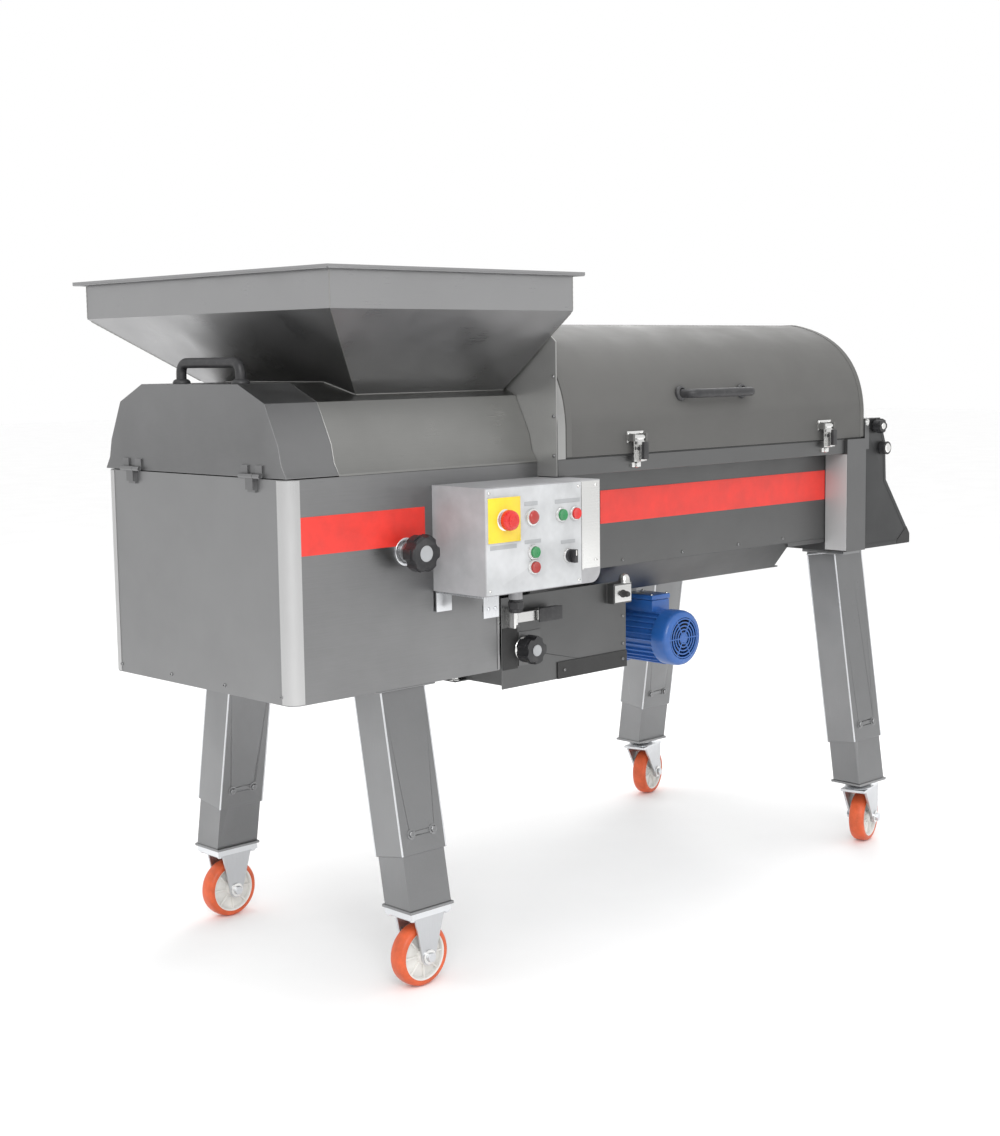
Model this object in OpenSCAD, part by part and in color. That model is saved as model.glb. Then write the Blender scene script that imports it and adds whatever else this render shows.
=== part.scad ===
/* [Body] */
// Width of the lower casing
body_w = 600; // [596:1:600]
// Thickness of the sheet steel
sheet_t = 3; // [2:0.5:3]
// Height of the hopper rim above the floor
rim_z = 1385; // [1375:1:1395]
// Height of the drum and beater axis
axis_z = 990; // [988:1:992]
/* [Destemming] */
// Radius of the perforated drum
drum_r = 225; // [220:1:228]
// Radius of the feed auger flights
auger_r = 130; // [120:1:132]
// Reach of the beater fingers
beater_r = 190; // [170:5:200]
/* [Crusher] */
// Radius of the crushing rollers
roller_r = 60; // [56:1:62]
// Number of roller grooves
roller_grooves = 8; // [6:1:10]
/* [Running gear] */
// Radius of the wheels
wheel_r = 62.5; // [60:0.5:62.5]
// Width of the wheel treads
wheel_w = 38; // [34:1:40]
/* [Handles] */
// Diameter of the handle bars
bar_d = 20; // [16:1:22]
/* [Hidden] */
hw = body_w/2;
t = sheet_t;
az = axis_z;
run = 0.08;                 // radial running clearance of a shaft in its bore
steel = [0.62,0.62,0.63];
dark = [0.09,0.09,0.10];
red = [0.86,0.20,0.17];

// ---- shape helpers -------------------------------------------------------
// outline in Y-Z swept along X
module px(pts,x0,x1) translate([x0,0,0]) rotate([90,0,90]) linear_extrude(x1-x0) polygon(pts);
// outline in X-Z swept along Y
module py(pts,y0,y1) translate([0,y1,0]) rotate([90,0,0]) linear_extrude(y1-y0) polygon(pts);
module bx(x0,x1,y0,y1,z0,z1) translate([x0,y0,z0]) cube([x1-x0,y1-y0,z1-z0]);
module cyx(x0,x1,y,z,r,fn=48) translate([x0,y,z]) rotate([0,90,0]) cylinder(r=r,h=x1-x0,$fn=fn);
module cyy(y0,y1,x,z,r,fn=48) translate([x,y1,z]) rotate([90,0,0]) cylinder(r=r,h=y1-y0,$fn=fn);
module cyz(z0,z1,x,y,r,fn=48) translate([x,y,z0]) cylinder(r=r,h=z1-z0,$fn=fn);
// mirrors a left-hand half outline (Y<0, listed bottom to top) into a closed one
function sym(h) = concat(h,[for(i=[len(h)-1:-1:0]) [-h[i][0],h[i][1]]]);
// the whole machine is drawn from its left end face and set on its own centre here
shift_x = -956.5;
shift_y = 31;
module place() translate([shift_x,shift_y,0]) children();

// ---- roof outlines (Y,Z), half, bottom to top ----------------------------
feed_out = [[-300,1005],[-300,1009],[-286,1030],[-278,1065],[-240,1142],[-160,1177]];
feed_in  = [[-297,1004],[-296.6,1008],[-283,1028.6],[-275.2,1064],[-237.8,1139.2],[-159.4,1174]];
// the drum hood is one rolled curve from its upright wall to its flat top
hb = [[-357,1080],[-352,1180],[-300,1262],[-150,1289]];
function bez(u) = pow(1-u,3)*hb[0]+3*pow(1-u,2)*u*hb[1]+3*(1-u)*u*u*hb[2]+u*u*u*hb[3];
function bezd(u) = 3*pow(1-u,2)*(hb[1]-hb[0])+6*(1-u)*u*(hb[2]-hb[1])+3*u*u*(hb[3]-hb[2]);
function inward(u,d) = let(v=bezd(u)) [v[1],-v[0]]*d/norm(v);
hood_out = concat([[-357,1015]],[for(i=[0:12]) bez(i/12)]);
hood_in  = concat([[-354,1014]],[for(i=[0:12]) bez(i/12)+inward(i/12,3)]);

// ---- fixed structure -----------------------------------------------------
module casing_solid(o,top,xr) {
  for(s=[-1,1]) cyz(590+o,top,22,s*(hw-22),22-o);
  bx(22,526-o,-(hw-o),hw-o,590+o,top);
  bx(o,23,-(hw-22),hw-22,590+o,top);
  bx(22,xr,-(hw-o),hw-o,770+o,top);
}
module left_casing() color(steel) difference() {
  union() { casing_solid(0,1005,641); cyy(-330,-290,280,853,20); }
  casing_solid(t,1006,642);
  cyy(-335,-285,280,853,5+run);
}
module trough_outline(o) {
  translate([0,az]) circle(r=140+o,$fn=96);
  polygon(o>0 ? [[-295,1003],[-295,1000.2],[-92,880],[92,880],[295,1000.2],[295,1003]]
              : [[-290,1004],[-90,882.8],[90,882.8],[290,1004]]);
}
module feed_trough() color(steel) difference() {
  translate([150,0,0]) rotate([90,0,90]) linear_extrude(490.6) trough_outline(3);
  translate([153,0,0]) rotate([90,0,90]) linear_extrude(500) trough_outline(0);
  bx(140,700,-200,200,1003,1200);
  cyx(140,160,0,az,40);
}
module feed_hood() color(steel) difference() {
  px(sym(feed_out),122,640.8);
  px(sym(feed_in),125,650);
  funnel(-0.6,-0.6,-0.6,1130,1200);
  bx(121,126,-90,90,1000,1076);
}
// hopper: upright band on a tapered funnel, open below into the feed hood
band_z = 1309; mouth_z = 1152;
// half width and end positions of the funnel at a height
function fy(z) = 214+(z-mouth_z)*(400-214)/(band_z-mouth_z);
function fl(z) = 236-(z-mouth_z)*(236-30)/(band_z-mouth_z);
function fr(z) = 628+(z-mouth_z)*(645-628)/(band_z-mouth_z);
module funnel(dy,dl,dr,z0,z1) intersection() {
  px([[-(fy(z1)-dy),z1],[-(fy(z0)-dy),z0],[fy(z0)-dy,z0],[fy(z1)-dy,z1]],0,700);
  py([[fl(z1)+dl,z1],[fl(z0)+dl,z0],[fr(z0)-dr,z0],[fr(z1)-dr,z1]],-430,430);
}
module hopper() color(steel) {
  difference() {
    union() {
      funnel(0,0,0,mouth_z,band_z+0.5);
      bx(30,645,-400,400,band_z,rim_z);
      bx(10,660,-420,420,rim_z-6,rim_z);
    }
    funnel(4.65,4.95,3,mouth_z-2,band_z+2);
    bx(32,643,-398,398,band_z+1,rim_z+5);
    difference() { bx(12,658,-418,418,rim_z-20,rim_z-3); bx(30,645,-400,400,rim_z-30,rim_z+5); }
  }
}
module bulkhead() color(steel) {
  difference() {
    union() {
      px([[-hw,770],[hw,770],[hw,978],[355,978],[355,1250],[340,1262],[-340,1262],[-355,1250],[-355,978],[-hw,978]],641,644);
      difference() {
        px(concat([[-357,1012]],sym(hood_out),[[357,1012]]),643.5,666);
        px(concat([[-354,1000]],sym(hood_in),[[354,1000]]),649,670);
        bx(600,700,-400,-355,1000,1012.4); bx(600,700,355,400,1000,1012.4);
      }
    }
    cyx(630,655,0,az,140,96);
    bx(640,646,-400,400,1262,1300);
  }
}
rail = [[-357,978],[-297,978],[-297,1012],[-357,1012]];
rail_c = [[-354,981],[-300,981],[-300,1009],[-354,1009]];
module drum_casing() color(steel) for(m=[0,1]) mirror([0,m,0]) difference() {
  union() { px(rail,644,1638); bx(644,1638,-300,-297,770,1000); }
  px(rail_c,640,1650);
}
module drum_trough() color(steel) difference() {
  union() {
    px([[-300,770],[-249,706],[249,706],[300,770]],644,1500);
    bx(1499,1518,-249,249,706,709);
    bx(1490,1638,-300,300,759,770);
  }
  bx(1500,1640,-297,297,762,780);
  cyx(1480,1510,0,az,drum_r+2.5,96);
  px([[-296.2,771],[-247.4,709],[247.4,709],[296.2,771]],647,1497);
  bx(700,870,-110,110,700,712);
}
// hinge line of the stalk chute
chute_x = 1726; chute_z = 1050.5; pin_r = 4;
module end_frame() color(steel) {
 difference() {
  bx(1638,1716,-365,365,739,1012);
  bx(1641,1720,-297,297,755,1020);
  for(s=[-1,1]) bx(1641,1713,s*331-31,s*331+31,742,1009);
  bx(1644,1713,-294,294,742,752);
  cyx(1630,1650,0,az,235,96);
 }
 for(s=[-1,1]) {
  bx(1714,1734,s*358.5-2.5,s*358.5+2.5,985,1011);
  bx(1716.2,1734,s*358.5-2.5,s*358.5+2.5,1000,1060);
  cyy(s>0?349:-357,s>0?357:-349,chute_x,chute_z,pin_r,32);
 }
}
module trim_stripes() color(red) {
  difference() { bx(29,330,-301.2,-300,865,936); cyy(-310,-290,280,853,20.5); }
  bx(829,1636,-301.2,-300,865,936);
  bx(29,600,300,301.2,865,936);
  bx(829,1636,300,301.2,865,936);
}

// ---- legs ----------------------------------------------------------------
// each leg: centre X, centre Y at z=165, side (-1 front, 1 rear), splay angle, top of the sleeve
legs = [[278.5,318,-1,10,590],[278.5,318,1,10,590],[1706.5,360,-1,8,735],[1706.5,360,1,8,735]];
module leg_frame(l) translate([l[0],l[2]*l[1],165]) rotate([l[2]*l[3],0,0]) children();
module leg_sleeves() color(steel) for(l=legs) {
  difference() {
    intersection() {
      leg_frame(l) translate([-56.5,-41,100]) cube([113,82,700]);
      bx(l[0]-100,l[0]+100,-700,700,0,l[4]-4);
    }
    leg_frame(l) translate([-53.5,-38,50]) cube([107,76,800]);
    for(s=[-1,1]) leg_frame(l) translate([s*28,0,140]) rotate([90,0,0]) cylinder(r=5.1,h=100,center=true,$fn=24);
  }
  if(l[4]==590) bx(l[0]-75,l[0]+75,l[2]*245-52,l[2]*245+52,586,590);
  else bx(1645,1714,l[2]*290-62,l[2]*290+62,731,739);
}
module leg_insert(l) color([0.55,0.55,0.56]) {
  difference() {
    intersection() {
      leg_frame(l) translate([-53,-37.5,-40]) cube([106,75,330]);
      bx(l[0]-100,l[0]+100,-700,700,166,700);
    }
    leg_frame(l) translate([-49,-33.5,-60]) cube([98,67,400]);
    for(z=[140,200,260]) for(s=[-1,1]) leg_frame(l) translate([s*28,0,z]) rotate([90,0,0]) cylinder(r=5.1,h=100,center=true,$fn=24);
  }
  bx(l[0]-56,l[0]+56,l[2]*l[1]-43,l[2]*l[1]+43,160,166);
}
// ---- casters -------------------------------------------------------------
caster_trail = 40;
function is_swivel(l) = l[4]>700;
function yaw(l) = is_swivel(l) ? 15 : 0;
module caster_frame(l) translate([l[0],l[2]*l[1],0]) rotate([0,0,yaw(l)]) translate([is_swivel(l)?caster_trail:0,0,0]) children();
module caster_fork(l) color([0.70,0.71,0.72]) {
  k = is_swivel(l) ? caster_trail : 0;
  caster_frame(l) {
    difference() {
      union() {
        bx(-k-44,k>0?22:44,-31,31,is_swivel(l)?139:142,is_swivel(l)?145:148);
        for(s=[-1,1]) py([[-11,48],[11,48],[16,60],[k>0?18:40,143],[-k-34,143],[-16,60]],s*28.5-2.5,s*28.5+2.5);
        for(s=[-1,1]) cyy(s*28.5-2.5,s*28.5+2.5,0,wheel_r,17,36);
      }
      cyy(-40,40,0,wheel_r,6,32);
    }
    cyy(-40,40,0,wheel_r,6,32);
    for(s=[-1,1]) cyy(s*35.5-4.5,s*35.5+4.5,0,wheel_r,10,6);
  }
  translate([l[0],l[2]*l[1],0]) {
    if(is_swivel(l)) { cyz(145,151,0,0,29,36); cyz(151,159.6,0,0,24,36); }
    else bx(-52,52,-40,40,148,160);
  }
}
module caster_wheel(l) color([0.85,0.30,0.16]) caster_frame(l) {
  difference() {
    union() {
      translate([0,0,wheel_r]) rotate([90,0,0]) rotate_extrude($fn=96)
        polygon([[6+run,-22],[16,-22],[16,-wheel_w/2+5],[48,-wheel_w/2+4],[51,-wheel_w/2],[57,-wheel_w/2],[wheel_r,-wheel_w/2+6],
                 [wheel_r,wheel_w/2-6],[57,wheel_w/2],[51,wheel_w/2],[48,wheel_w/2-4],[16,wheel_w/2-5],[16,22],[6+run,22]]);
    }
  }
}

// ---- control box ---------------------------------------------------------
// buttons: X, Z
pb = [[551,913],[590,913],[474,846],[474,817]];
estop = [395,914];
sel = [572,831];
module control_box() color([0.66,0.66,0.66]) difference() {
  union() {
    bx(350,640,-448,-300.2,770,976);
    bx(640,668,-448,-300.2,796,976);
    cyy(-448,-300.2,642,796,26,36);
    cyz(745,771,430,-375,14,36);
    cyz(745,771,500,-375,14,36);
  }
  bx(353,638,-445,-303,773,973);
  bx(630,665,-445,-303,800,973);
  for(x=[430,500]) cyz(740,780,x,-375,8,36);
  for(b=pb) cyy(-460,-440,b[0],b[1],6+run,32);
  cyy(-460,-440,estop[0],estop[1],8+run,32);
  cyy(-460,-440,sel[0],sel[1],6+run,32);
}
module ringy(x,z,ro,ri,y0,y1) difference() { cyy(y0,y1,x,z,ro,40); cyy(y0-5,y1+5,x,z,ri,40); }
module control_panel() color([0.84,0.84,0.84]) {
  difference() {
    union() { bx(350,610,-451,-448,772,974); bx(352.5,437.5,-454,-451,871.5,956.5); }
    for(b=pb) cyy(-460,-440,b[0],b[1],6+run,32);
    cyy(-460,-440,estop[0],estop[1],8+run,32);
    cyy(-460,-440,sel[0],sel[1],6+run,32);
  }
  for(b=pb) ringy(b[0],b[1],14,11.6,-457,-451);
  ringy(sel[0],sel[1],14,11.6,-457,-451);
  ringy(estop[0],estop[1],17,13,-460,-454);
  cyy(-459,-451,470,914,14,40);
}
module cable_glands() color(dark) for(x=[430,500]) difference() {
  union() { cyz(718,745,x,-375,13,36); cyz(726,740,x,-375,16,6); cyz(745,760,x,-375,7.9,36); }
  cyz(700,780,x,-375,5,36);
}
module push_cap(x,z,c) color(c) { cyy(-461,-454,x,z,11,40); cyy(-454.2,-430,x,z,6,32); }
module emergency_stop() color([0.80,0.06,0.06]) {
  translate([estop[0],-465,estop[1]]) rotate([90,0,0]) rotate_extrude($fn=64)
    polygon([[0,-1],[12,-1],[20,0],[20,6],[18,12],[13,15],[0,17]]);
  cyy(-465,-430,estop[0],estop[1],8,32);
}
module drum_start_button() push_cap(pb[0][0],pb[0][1],[0.1,0.55,0.2]);
module drum_stop_button() push_cap(pb[1][0],pb[1][1],[0.8,0.1,0.1]);
module crusher_start_button() push_cap(pb[2][0],pb[2][1],[0.1,0.55,0.2]);
module crusher_stop_button() push_cap(pb[3][0],pb[3][1],[0.8,0.1,0.1]);
module selector_switch() color(dark) {
  cyy(-463,-457.5,sel[0],sel[1],13,40);
  bx(sel[0]-4,sel[0]+4,-474,-462,sel[1]-13,sel[1]+13);
  cyy(-458,-430,sel[0],sel[1],6,32);
}
module lobed_knob(r,h,n,lobe) difference() {
  union() { cylinder(r=r-2,h=h,$fn=64); translate([0,0,h*0.2]) cylinder(r=r,h=h*0.6,$fn=64); }
  for(i=[0:n-1]) rotate([0,0,(i+0.5)*360/n]) translate([r+lobe*0.45,0,-1]) cylinder(r=lobe,h=h+2,$fn=32);
}
module speed_knob() color(dark) {
  translate([280,-332,853]) rotate([90,0,0]) lobed_knob(37,28,6,12);
  cyy(-333,-280,280,853,5,32);
}

// ---- drive ---------------------------------------------------------------
pulley_x0 = 40; pulley_x1 = 60;
motor_z = 690; r_big = 125; r_small = 50;
module drive_motor() color([0.16,0.30,0.60]) difference() {
  union() {
    cyx(82,330,0,motor_z,80,64);
    cyx(72,84,0,motor_z,95,64);
    cyx(330,352,0,motor_z,84,64);
    bx(120,210,-50,50,motor_z+70,motor_z+104);
    bx(110,290,-80,-55,593,motor_z-40);
    bx(110,290,55,80,593,motor_z-40);
  }
  cyx(60,110,0,motor_z,14+run,32);
}
module motor_pulley() color([0.35,0.35,0.36]) {
  cyx(pulley_x0,pulley_x1,0,motor_z,r_small,72);
  cyx(34,105,0,motor_z,14,32);
}
module beater_pulley() color([0.35,0.35,0.36]) difference() {
  union() { cyx(pulley_x0,pulley_x1,0,az,r_big,96); cyx(34,63,0,az,34,48); }
  cyx(30,70,0,az,20,48);
  for(i=[0:4]) rotate([0,0,0]) translate([50,80*cos(i*72),az+80*sin(i*72)]) rotate([0,90,0]) cylinder(r=25,h=40,center=true,$fn=36);
}
// belt loop round both pulleys: two arcs joined by tangent flanks
belt_a = asin((r_big-r_small)/(az-motor_z));
function belt_pts(o) = concat(
  [for(i=[0:48]) let(q=-belt_a+i*(180+2*belt_a)/48) [(r_big+o)*cos(q),az+(r_big+o)*sin(q)]],
  [for(i=[0:24]) let(q=180+belt_a+i*(180-2*belt_a)/24) [(r_small+o)*cos(q),motor_z+(r_small+o)*sin(q)]]);
module drive_belt() color([0.07,0.07,0.07]) difference() {
  translate([pulley_x0+1,0,0]) rotate([90,0,90]) linear_extrude(18) polygon(belt_pts(7));
  translate([pulley_x0,0,0]) rotate([90,0,90]) linear_extrude(20) polygon(belt_pts(0.5));
}
module drum_reducer() color([0.30,0.32,0.34]) difference() {
  union() { bx(92,150,-88,88,az-85,az+85-2); cyx(84,92,0,az,70,64); }
  cyx(70,160,0,az,38.4,64);
  for(y=[-70,70]) for(z=[-68,66]) cyx(80,100,y,az+z,5,24);
}
module bearing_housings() color([0.50,0.51,0.52]) {
  difference() { union() { cyx(72,84,0,az,46,48); cyx(66,84,0,az,34,48); } cyx(60,90,0,az,20+run,48); }
  difference() {
    union() { cyx(1645,1675,0,az,40,48); for(a=[0,180]) translate([1650,0,az]) rotate([a,0,0]) translate([0,30,-12]) cube([12,266.6,24]); }
    cyx(1640,1680,0,az,20+run,48);
  }
}
module beater_shaft() color([0.66,0.67,0.68]) {
  cyx(30,1690,0,az,20,48);
  for(i=[0:17]) translate([704+i*50,0,az]) rotate([i*60,0,0]) {
    translate([0,0,20.05]) cylinder(r=8,h=beater_r-45,$fn=24);
    rotate([0,0,-25]) translate([-28,-3,beater_r-45]) cube([56,6,45]);
  }
}
module feed_auger() color([0.70,0.71,0.72]) {
  difference() { cyx(96,672,0,az,38,64); cyx(90,680,0,az,22,48); }
  for(i=[0:19]) difference() {
    translate([188+i*23,0,az]) rotate([i*54,0,0]) intersection() {
      rotate([0,90,0]) cylinder(r=auger_r,h=120,center=true,$fn=72);
      rotate([0,0,14]) translate([-1.5,-64,28]) cube([3,128,120]);
    }
    cyx(90,680,0,az,38.05,64);
  }
}
// drum of eight long staves with round holes, hung on a three-armed spider
module stave() difference() {
  intersection() {
    difference() { cyx(660,1610,0,0,drum_r,128); cyx(650,1620,0,0,drum_r-3,128); }
    px([[0,0],[-drum_r*tan(22.47),drum_r],[-drum_r*tan(22.47),drum_r+20],[drum_r*tan(22.47),drum_r+20],[drum_r*tan(22.47),drum_r]],600,1700);
  }
  for(i=[0:7]) for(a=i%2==0?[-11.25,11.25]:[0]) translate([720+i*114,0,0]) rotate([a,0,0]) translate([0,0,drum_r-15]) cylinder(r=24,h=30,$fn=24);
}
module destemming_drum() color([0.72,0.73,0.74]) translate([0,0,az]) {
  for(k=[0:7]) rotate([k*45,0,0]) stave();
  difference() { cyx(660,668,0,0,56,48); cyx(650,680,0,0,38,64); }
  for(a=[0:120:240]) rotate([a,0,0]) translate([660,-14,56.05]) cube([8,28,drum_r-60]);
}

// ---- covers --------------------------------------------------------------
hinges = [775,1190,1600];   // hood hinge positions
module end_cover() color(steel) {
  difference() {
    px(sym(feed_out),0,121.5);
    px(sym(feed_in),t,130);
    bx(-5,130,-310,310,1000,1007);
  }
  for(s=[-1,1]) difference() {
    union() { for(k=[-1,1]) cyy(s*200+k*22-10,s*200+k*22+10,-7,1010,5,32); for(k=[-1,1]) bx(-4,0,s*200+k*22-10,s*200+k*22+10,1010,1030); }
    cyy(-260,260,-7,1010,2.5+run,24);
  }
}
module bridge(l,h) {          // bar along X, feet at z=0
  for(s=[-1,1]) translate([s*l/2,0,0]) cylinder(r=bar_d*0.55,h=h,$fn=32);
  translate([-l/2-bar_d*0.55,0,h]) rotate([0,90,0]) cylinder(r=bar_d/2,h=l+bar_d*1.1,$fn=32);
}
module end_cover_handle() color(dark) translate([40,-18,1177]) rotate([0,0,90]) bridge(195,40);
module drum_hood() color(steel) {
  difference() {
    px(sym(hood_out),668,1715.5);
    px(sym(hood_in),667,1712.5);
    bx(1700,1720,-350,350,1000,1062);
  }
  for(x=hinges) for(k=[-1,1]) difference() {
    union() { cyx(x+k*22-8,x+k*22+8,363,1012,5,32); bx(x+k*22-8,x+k*22+8,357,362,1012,1040); }
    cyx(600,1800,363,1012,2.5+run,24);
  }
  for(x=[875,1550]) {
    for(k=[-1,1]) bx(x+k*20-3,x+k*20+3,-375,-357,1041,1057);
    cyx(x-18,x+18,-368,1049,3,24);
  }
}
module hinge_bases() color([0.5,0.5,0.5]) {
  for(x=hinges) {
    bx(x-13.5,x+13.5,357,362,982,1012);
    cyx(x-13.5,x+13.5,363,1012,5,32);
    cyx(x-30,x+30,363,1012,2.5,24);
  }
  for(s=[-1,1]) {
    bx(-5,0,s*200-11.5,s*200+11.5,980,1005);
    cyy(s*200-11.5,s*200+11.5,-7,1010,5,32);
    bx(-10,-5,s*200-11.5,s*200+11.5,985,1011);
    cyy(s*200-32,s*200+32,-7,1010,2.5,24);
  }
}
module hood_handle() color(dark) difference() {
  translate([1140,-342,1137]) rotate([90,0,0]) translate([0,0,-18]) bridge(212,62);
  px(concat([[-357,1000]],sym(hood_out),[[357,1000]]),600,1800);
}
module latch(x) color([0.72,0.73,0.74]) {
  difference() {
    union() { cyx(x-16,x+16,-368,1049,6,32); bx(x-16,x+16,-372,-368,998,1049); }
    cyx(x-30,x+30,-368,1049,3+run,24);
  }
  bx(x-9,x+9,-384,-372,1000,1034);
}
module hood_latch_left() latch(875);
module hood_latch_right() latch(1550);

// ---- crusher -------------------------------------------------------------
roll_z = 636; roll_y = 65;
module crusher_rails() color(steel) {
  bx(526,529,-296,290,680,762); bx(529,546,-296,290,680,683);
  bx(904,907,-246,246,683,706); bx(890,907,-246,246,680,683);
}
module crusher_frame() color(steel) {
  difference() {
    union() {
      for(x=[548,883]) bx(x,x+3,-300,140,552,700);
      bx(551,883,-143,-140,552,700); bx(551,883,137,140,552,700);
      bx(530,906,-303,-300,549,737);
      bx(532,548,-300,140,683.6,687); bx(886,902,-300,140,683.6,687);
      bx(520,914,-172,172,549,552);
      for(x=[551,875]) for(y=[-roll_y,roll_y]) cyx(x,x+8,y,roll_z,30,48);
    }
    bx(551,883,-137,137,540,553);
    for(y=[-roll_y,roll_y]) cyx(540,900,y,roll_z,12.5+run,32);
    for(x=[530,904]) for(y=[-160,160]) cyz(540,560,x,y,5.5,24);
    cyy(-310,-290,590,627,8+run,32);
  }
  // lantern to the gearbox
  difference() { cyx(886,1046,-roll_y,roll_z,42,64); cyx(880,1050,-roll_y,roll_z,34,64); bx(930,1000,-120,-80,600,672); }
  // slide stop pads and the interlock housing
  bx(846,902,-323,-303,692,735);
  // hinge post of the clamp
  for(z=[678,711.5]) bx(541,559,-328,-303,z,z+3);
  cyz(678,714.5,550,-321,3,24);
}
module roller(y) color([0.12,0.12,0.12]) {
  difference() {
    cyx(563,871,y,roll_z,roller_r,72);
    for(i=[0:roller_grooves-1]) translate([550,y,roll_z]) rotate([(i+(y>0?0.5:0))*360/roller_grooves,0,0]) translate([0,0,roller_r+5]) rotate([0,90,0]) cylinder(r=11,h=340,$fn=32);
  }
  cyx(543,y<0?1050:891,y,roll_z,12.5,32);
}
module roller_front() roller(-roll_y);
module roller_rear() roller(roll_y);
module crusher_gearbox() color([0.55,0.57,0.60]) difference() {
  union() { bx(1050,1152,-116,-14,545,690); cyx(1046,1156,-roll_y,roll_z,44,64); cyy(-125,-110,1101,586,58,64); }
  cyx(1040,1060,-roll_y,roll_z,12.5+run,32);
}
module crusher_motor() color([0.16,0.30,0.60]) {
  cyy(-262,-130,1101,586,61,64);
  cyy(-133,-125,1101,586,70,64);
  difference() { cyy(-303,-262,1101,586,62,64); cyy(-300,-262,1101,586,59,64); }
  bx(1071,1131,-235,-150,586+52,586+94);
  cyy(-300,-262,1101,586,10,32);
}
module roller_gap_knob() color(dark) {
  translate([590,-312,627]) rotate([90,0,0]) lobed_knob(30,32,5,12);
  cyy(-313,-280,590,627,8,32);
}
module crusher_clamp() color([0.75,0.75,0.76]) {
  difference() {
    union() { cyz(681.5,711,550,-321,7,32); bx(550,620,-326,-319,686,706); }
    cyz(670,720,550,-321,3+run,24);
  }
  bx(612,672,-331,-319,684,708);
}
module crusher_skirt() color(dark) bx(690,906,-306,-303,549,585);

// ---- stalk chute ---------------------------------------------------------
chute_out = concat([[1716.5,739]],[for(a=[180:-15:90]) [chute_x+9.5*cos(a),chute_z+9.5*sin(a)]],[[1790,1060],[1813,1000],[1818,905],[1925,763],[1925,739]]);
chute_in  = [[1710,730],[1710,1057],[1788,1057],[1810,999.4],[1815,904],[1922,762],[1922,730]];
module stalk_chute() color(steel) {
  difference() {
    py(chute_out,-355,355);
    py(chute_in,-352,352);
    bx(1860,1930,-352,352,730,763);
    cyy(-360,360,chute_x,chute_z,pin_r+run,32);
  }
}
module chute_flap() color([0.10,0.10,0.10]) bx(1921,1924,-350,350,739,762.5);
module chute_knob() color(dark) {
  translate([1770,-356,1040]) rotate([90,0,0]) lobed_knob(18,22,5,8);
  translate([1798,-356,985]) rotate([90,0,0]) cylinder(r=16,h=16,$fn=40);
}
place() left_casing();
place() feed_trough();
place() feed_hood();
place() hopper();
place() bulkhead();
place() drum_casing();
place() drum_trough();
place() end_frame();
place() trim_stripes();
place() leg_sleeves();
place() control_box();
place() control_panel();
place() cable_glands();
place() drive_motor();
place() drum_reducer();
place() bearing_housings();
place() crusher_rails();
place() hinge_bases();
place() drive_belt();
place() end_cover();
place() end_cover_handle();
place() drum_hood();
place() hood_handle();
place() hood_latch_left();
place() hood_latch_right();
place() destemming_drum();
place() feed_auger();
place() beater_shaft();
place() beater_pulley();
place() motor_pulley();
place() crusher_frame();
place() crusher_motor();
place() crusher_gearbox();
place() roller_front();
place() roller_rear();
place() roller_gap_knob();
place() crusher_clamp();
place() crusher_skirt();
place() emergency_stop();
place() drum_start_button();
place() drum_stop_button();
place() crusher_start_button();
place() crusher_stop_button();
place() selector_switch();
place() speed_knob();
place() stalk_chute();
place() chute_flap();
place() chute_knob();
place() leg_insert(legs[0]);  // leg_insert_front_left
place() caster_fork(legs[0]);  // caster_fork_front_left
place() caster_wheel(legs[0]);  // caster_wheel_front_left
place() leg_insert(legs[1]);  // leg_insert_rear_left
place() caster_fork(legs[1]);  // caster_fork_rear_left
place() caster_wheel(legs[1]);  // caster_wheel_rear_left
place() leg_insert(legs[2]);  // leg_insert_front_right
place() caster_fork(legs[2]);  // caster_fork_front_right
place() caster_wheel(legs[2]);  // caster_wheel_front_right
place() leg_insert(legs[3]);  // leg_insert_rear_right
place() caster_fork(legs[3]);  // caster_fork_rear_right
place() caster_wheel(legs[3]);  // caster_wheel_rear_right
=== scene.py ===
import math
import random
import bpy
import bmesh
from mathutils import Matrix, Vector


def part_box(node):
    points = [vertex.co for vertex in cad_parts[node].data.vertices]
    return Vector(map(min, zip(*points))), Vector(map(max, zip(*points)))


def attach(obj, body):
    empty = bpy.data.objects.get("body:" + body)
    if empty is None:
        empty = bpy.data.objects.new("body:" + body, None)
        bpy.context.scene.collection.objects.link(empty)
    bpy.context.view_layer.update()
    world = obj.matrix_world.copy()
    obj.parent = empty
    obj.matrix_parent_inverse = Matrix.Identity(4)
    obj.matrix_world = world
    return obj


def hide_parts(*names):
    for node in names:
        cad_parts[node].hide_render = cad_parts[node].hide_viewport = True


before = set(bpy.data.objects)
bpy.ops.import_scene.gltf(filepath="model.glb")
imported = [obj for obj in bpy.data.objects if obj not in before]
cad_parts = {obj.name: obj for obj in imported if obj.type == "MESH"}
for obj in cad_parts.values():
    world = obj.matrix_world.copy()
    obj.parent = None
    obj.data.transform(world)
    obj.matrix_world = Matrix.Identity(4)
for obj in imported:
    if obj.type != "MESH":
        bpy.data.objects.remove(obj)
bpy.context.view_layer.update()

random.seed(7)

# The drawing frame of the machine: x from its left end face, y from its middle plane, z from the floor, in mm.
_lo, _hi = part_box("left_casing")
SX, SY = _lo[0] * 1000.0, _hi[1] * 1000.0 - 300.0


def D(x, y, z):
    return Vector(((x + SX) / 1000.0, (y + SY) / 1000.0, z / 1000.0))


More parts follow.
